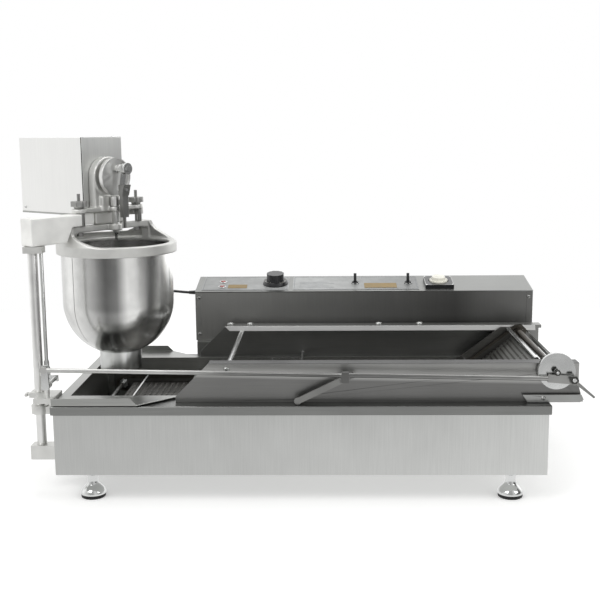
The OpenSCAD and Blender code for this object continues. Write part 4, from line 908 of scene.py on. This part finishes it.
def stud_nut(name, x, z, across, node):
    """A dark hexagon nut on a bright stud, on the front of a construction part."""
    bm = bmesh.new()
    seat = frame_at(spot(x, edges(node)[0].y, z), (0, -1, 0))
    radius = across / math.sqrt(3)
    bore, stud, tip = radius * 0.55, radius * 0.48, radius * 0.38
    turned(bm, [(0, 0), (radius, 0), (radius, 2.2), (radius - 0.6, 2.8), (bore, 2.8), (bore, 1)],
           seat, 6, [1] * 5)
    turned(bm, [(0, 0.5), (stud, 0.5), (stud, 3.6), (tip, 4.4), (0, 4.4)], seat, 24)
    piece(name, bm, ["bright_steel", "blackened_steel"], home(node))


stud_nut("pin_nut", 478.4, 231.7, 13, "lock_handle")
stud_nut("rod_nut", 450, 243.5, 10, "long_rod")
print("conveyor fittings done")

# %% [markdown]
# ## Control box ends
# The box is a folded wrapper closed by two end caps whose rims lap over its front and back. The
# rims are thin plates that stand a little proud, and they give the box its lines at both ends.
# %% End caps
PANEL_TILT = math.radians(9.8)
CAP = 13
box_depth = box_high.y - box_low.y
rise = box_depth * math.tan(PANEL_TILT)
bm = bmesh.new()
for x0, x1 in ((box_low.x - 0.6, box_low.x + CAP), (box_high.x - CAP, box_high.x + 0.6)):
    block(bm, (x0, box_low.y - CAP_T, box_low.z - 0.4), (x1, box_low.y, BOX_FRONT_TOP - 0.5))
    block(bm, (x0, box_high.y, box_low.z - 0.4), (x1, box_high.y + CAP_T, BOX_FRONT_TOP + rise - 1))
    block(bm, (x0, box_low.y, box_low.z - CAP_T), (x1, box_high.y, box_low.z))
piece("box_end_caps", bm, "brushed_steel_box", home("control_box"), bevel_mm=0.3)
print("box from", box_low.x, "to", box_high.x)

# %% [markdown]
# ## Control panel
# The panel slopes up to the back. Its labels are printed film with thin ruled borders, the two
# lamps sit in metal bezels, and each switch is held by a nut. All of it is measured up the slope.
# %% Panel datum
def panel_spot(x, up, out):
    """A place on the sloping panel: along the box, up the slope, and out of its face."""
    return spot(x, box_low.y + up * math.cos(PANEL_TILT) - out * math.sin(PANEL_TILT),
                BOX_FRONT_TOP + up * math.sin(PANEL_TILT) + out * math.cos(PANEL_TILT))


panel_normal = (0, -math.sin(PANEL_TILT), math.cos(PANEL_TILT))
FILM_TOP = 2.8
FILM_FOOT, FILM_HEAD = 11, 95
FILMS = ((box_low.x + 15, -37), (-22, 249))
AMBER = (((-168.1, 19.9), (-125.9, 43.1)), ((132.9, 18.9), (204.1, 50.1)))
TIMER = (297, 46)
TIMER_HALF = 31.1
THERMOSTAT = (-64, 50)
SWITCHES = (113, 230)
SWITCH_UP = 50
LAMP_X = -181
LAMPS_UP = (28, 62)


def ruled_frame(bm, x0, x1, up0, up1, line, out):
    """A printed border: four thin strips round a rectangle."""
    for low, high in (((x0, up0), (x1, up0 + line)), ((x0, up1 - line), (x1, up1)),
                      ((x0, up0), (x0 + line, up1)), ((x1 - line, up0), (x1, up1))):
        block(bm, (*low, out), (*high, out + 0.12), panel_spot)


bm = bmesh.new()
for x0, x1 in FILMS:
    ruled_frame(bm, x0, x1, FILM_FOOT, FILM_HEAD, 0.9, FILM_TOP)
for k in range(5):
    up = 22 + k * 9
    block(bm, (-10, up, FILM_TOP), (66 - (k % 3) * 12, up + 1.4, FILM_TOP + 0.1), panel_spot)
piece("panel_rules", bm, "printed_grey", home("panel_plates"))
bm = bmesh.new()
for low, high in AMBER:
    block(bm, (*low, FILM_TOP), (*high, FILM_TOP + 0.72), panel_spot)
piece("amber_labels", bm, "amber_film", home("panel_plates"), bevel_mm=0.15)
bm = bmesh.new()
ruled_frame(bm, TIMER[0] - TIMER_HALF, TIMER[0] + TIMER_HALF, TIMER[1] - TIMER_HALF,
            TIMER[1] + TIMER_HALF, 1.6, 10)
piece("timer_frame", bm, "zinc_plate", home("panel_fittings"))
bm = bmesh.new()
for up in LAMPS_UP:
    turned(bm, [(6.4, 0), (8.4, 0), (8.4, 1.6), (7.4, 2.4), (6.4, 2.2), (6.4, 0)],
           frame_at(panel_spot(LAMP_X, up, FILM_TOP), panel_normal), 32)
for x in SWITCHES:
    turned(bm, [(4, 0), (9.2, 0), (9.2, 1.4), (8.2, 2.2), (4, 2.2)],
           frame_at(panel_spot(x, SWITCH_UP, FILM_TOP), panel_normal), 6)
piece("panel_nuts", bm, "ground_steel", home("panel_fittings"), 20)
print("panel trimmed")

# %% [markdown]
# The thermostat's skirt and the timer's dial carry plain scale marks. A mark is a thin ivory or
# grey bar laid on the face, turned about the knob's centre.
# %% Scale marks
def scale(bm, centre, out, inner, outer, first_deg, last_deg, width):
    """Thirty-one radial marks round a dial, every fifth one longer."""
    for k in range(31):
        a = math.radians(first_deg + (last_deg - first_deg) * k / 30)

        def mark_spot(x, y, z):
            return panel_spot(centre[0] + x * math.cos(a) - y * math.sin(a),
                              centre[1] + x * math.sin(a) + y * math.cos(a), z)

        near = inner if k % 5 == 0 else inner + (outer - inner) * 0.45
        block(bm, (near, -width / 2, out), (outer, width / 2, out + 0.15), mark_spot)


bm = bmesh.new()
scale(bm, TIMER, 12.3, 15.6, 19.2, 110, 430, 0.5)
piece("timer_marks", bm, "printed_grey", home("timer_dial"))
bm = bmesh.new()
scale(bm, THERMOSTAT, 11.1, 20.3, 24.4, -60, 240, 0.6)
piece("thermostat_marks", bm, "ivory_plastic", home("thermostat_knob"))
bm = bmesh.new()
for x in (TIMER[0] - 28, TIMER[0] + 28):
    for up in (TIMER[1] - 28, TIMER[1] + 28):
        pan_head(bm, panel_spot(x, up, 10), panel_normal, 2.2)
piece("timer_screws", bm, ["bright_steel", "blackened_steel"], home("panel_fittings"))
print("scales done")

# %% [markdown]
# ## Floor, light and camera
# Shiny steel shows the room around it, so its studio is a room with light and dark sides. The world is
# white to the camera, even and a little dimmer as a lamp, and to mirrors it is a ring of greys by bearing,
# which gives the hopper part of its upright bands; the rest are painted reflection in its colour. The
# paper on the floor is pale.
# %% Floor and world
def floor_material():
    """Pale paper: white to the camera, with the object's soft shadow left on it."""
    made, tree = empty_material("floor_paper")
    path = add(tree, "ShaderNodeLightPath")
    paper = add(tree, "ShaderNodeBsdfDiffuse", {"Color": linear("#F4F4F3")})
    glow = add(tree, "ShaderNodeEmission", {"Strength": 0.3})
    lit = add(tree, "ShaderNodeAddShader", links={0: paper.outputs[0], 1: glow.outputs[0]})
    seen = add(tree, "ShaderNodeMath", links={0: path.outputs["Is Glossy Ray"],
                                              1: path.outputs["Is Transmission Ray"]}, operation="MAXIMUM")
    mirror = add(tree, "ShaderNodeEmission", {"Strength": 0.95})
    shown = add(tree, "ShaderNodeMixShader", links={"Fac": path.outputs["Is Camera Ray"],
                                                    1: paper.outputs[0], 2: lit.outputs[0]})
    full = add(tree, "ShaderNodeMixShader", links={"Fac": seen.outputs[0], 1: shown.outputs[0],
                                                   2: mirror.outputs[0]})
    add(tree, "ShaderNodeOutputMaterial", links={"Surface": full.outputs[0]})
    return made


FLOOR_HALF = 1.7
FLOOR_FRONT = -1.1
bm = bmesh.new()
bmesh.ops.create_grid(bm, x_segments=1, y_segments=1, size=FLOOR_HALF)
for corner in bm.verts:
    corner.co.y = max(corner.co.y, FLOOR_FRONT)
floor_mesh = bpy.data.meshes.new("floor")
bm.to_mesh(floor_mesh)
bm.free()
floor = bpy.data.objects.new("floor", floor_mesh)
bpy.context.scene.collection.objects.link(floor)
floor_mesh.materials.append(floor_material())
floor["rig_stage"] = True

world = bpy.data.worlds.new("studio")
bpy.context.scene.world = world
world.use_nodes = True
sky = world.node_tree
sky.nodes.clear()
WORLD_LIGHT = 0.62
path = add(sky, "ShaderNodeLightPath")
direction = add(sky, "ShaderNodeTexCoord").outputs["Generated"]
# The studio's walls by bearing: 0.25 lies in front of the machine and 0.5 on its right.
WALLS = [(0.0, 0.74), (0.05, 0.56), (0.13, 0.45), (0.16, 0.36), (0.19, 0.3), (0.275, 0.31),
         (0.325, 0.54), (0.375, 0.42), (0.41, 0.1), (0.51, 0.07), (0.55, 0.4), (0.59, 1.0),
         (0.68, 0.95), (0.8, 0.7), (0.9, 0.66), (0.96, 0.85), (1.0, 0.74)]
bearing = add(sky, "ShaderNodeTexGradient", links={"Vector": direction}, gradient_type="RADIAL")
walls = add(sky, "ShaderNodeValToRGB", links={"Fac": bearing.outputs["Fac"]},
            stops=[(place, grey(tone)) for place, tone in WALLS])
mirror = add(sky, "ShaderNodeBackground", {"Strength": 1.5}, {"Color": walls.outputs["Color"]})
lamp = add(sky, "ShaderNodeBackground", {"Color": grey(1), "Strength": WORLD_LIGHT})
white = add(sky, "ShaderNodeBackground", {"Color": grey(1), "Strength": 1.0})
shown = lamp
for ray, shader in (("Is Glossy Ray", mirror), ("Is Transmission Ray", white), ("Is Camera Ray", white)):
    shown = add(sky, "ShaderNodeMixShader", links={"Fac": path.outputs[ray], 1: shown.outputs[0],
                                                   2: shader.outputs[0]})
add(sky, "ShaderNodeOutputWorld", links={"Surface": shown.outputs[0]})
print("world lamp strength", WORLD_LIGHT)

# %% [markdown]
# The lamps are three big soft boxes: one high in front on the left, a weaker one on the right, so
# that edges get a light side and a dark side, and one overhead.
# %% Soft boxes
def soft_box(name, place, aim, size, power):
    """A large area lamp turned towards a place."""
    data = bpy.data.lights.new(name, "AREA")
    data.shape = "RECTANGLE"
    data.size, data.size_y = size
    data.energy = power
    made = bpy.data.objects.new(name, data)
    made.location = place
    made.rotation_euler = (Vector(aim) - Vector(place)).to_track_quat("-Z", "Y").to_euler()
    bpy.context.scene.collection.objects.link(made)
    return made


soft_box("key", (-1.5, -1.9, 2.3), (0, 0, 0.25), (1.6, 1.2), 26)
soft_box("fill", (2.0, -1.2, 1.6), (0, 0, 0.3), (1.2, 1.4), 12)
soft_box("top", (0.1, 0.5, 2.4), (0, 0, 0.2), (2.0, 1.4), 16)

# %% [markdown]
# ## Camera
# The picture was taken from a little right of the casing's middle, 66 cm above the counter and
# 1.7 m in front of it, with a lens that looks down by under ten degrees.
# %% Camera
def aimed_camera(place, yaw_deg, pitch_deg, roll_deg, focal_mm):
    """A camera at a place, turned by yaw to the left, pitched down and rolled about its own axis."""
    yaw, pitch, roll = (math.radians(a) for a in (yaw_deg, pitch_deg, roll_deg))
    right = Vector((math.cos(yaw), math.sin(yaw), 0))
    level = Vector((-math.sin(yaw), math.cos(yaw), 0))
    up = Vector((0, 0, 1))
    forward = level * math.cos(pitch) - up * math.sin(pitch)
    above = up * math.cos(pitch) + level * math.sin(pitch)
    side = right * math.cos(roll) + above * math.sin(roll)
    top = above * math.cos(roll) - right * math.sin(roll)
    data = bpy.data.cameras.new("camera")
    data.lens = focal_mm
    data.sensor_width = 36
    made = bpy.data.objects.new("camera", data)
    turn = Matrix((side, top, -forward)).transposed().to_4x4()
    made.matrix_world = Matrix.Translation(place) @ turn
    bpy.context.scene.collection.objects.link(made)
    bpy.context.scene.camera = made
    return made


camera = aimed_camera(spot(46.2, -1711.0, 661.3), 1.457, 9.568, -0.502, 60)
bpy.context.scene.view_settings.view_transform = "Standard"
print("camera at", camera.matrix_world.translation)

# %% [markdown]
# ## Sizes
# The last cell measures the whole scene.
# %% Measure the sizes
low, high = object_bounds()
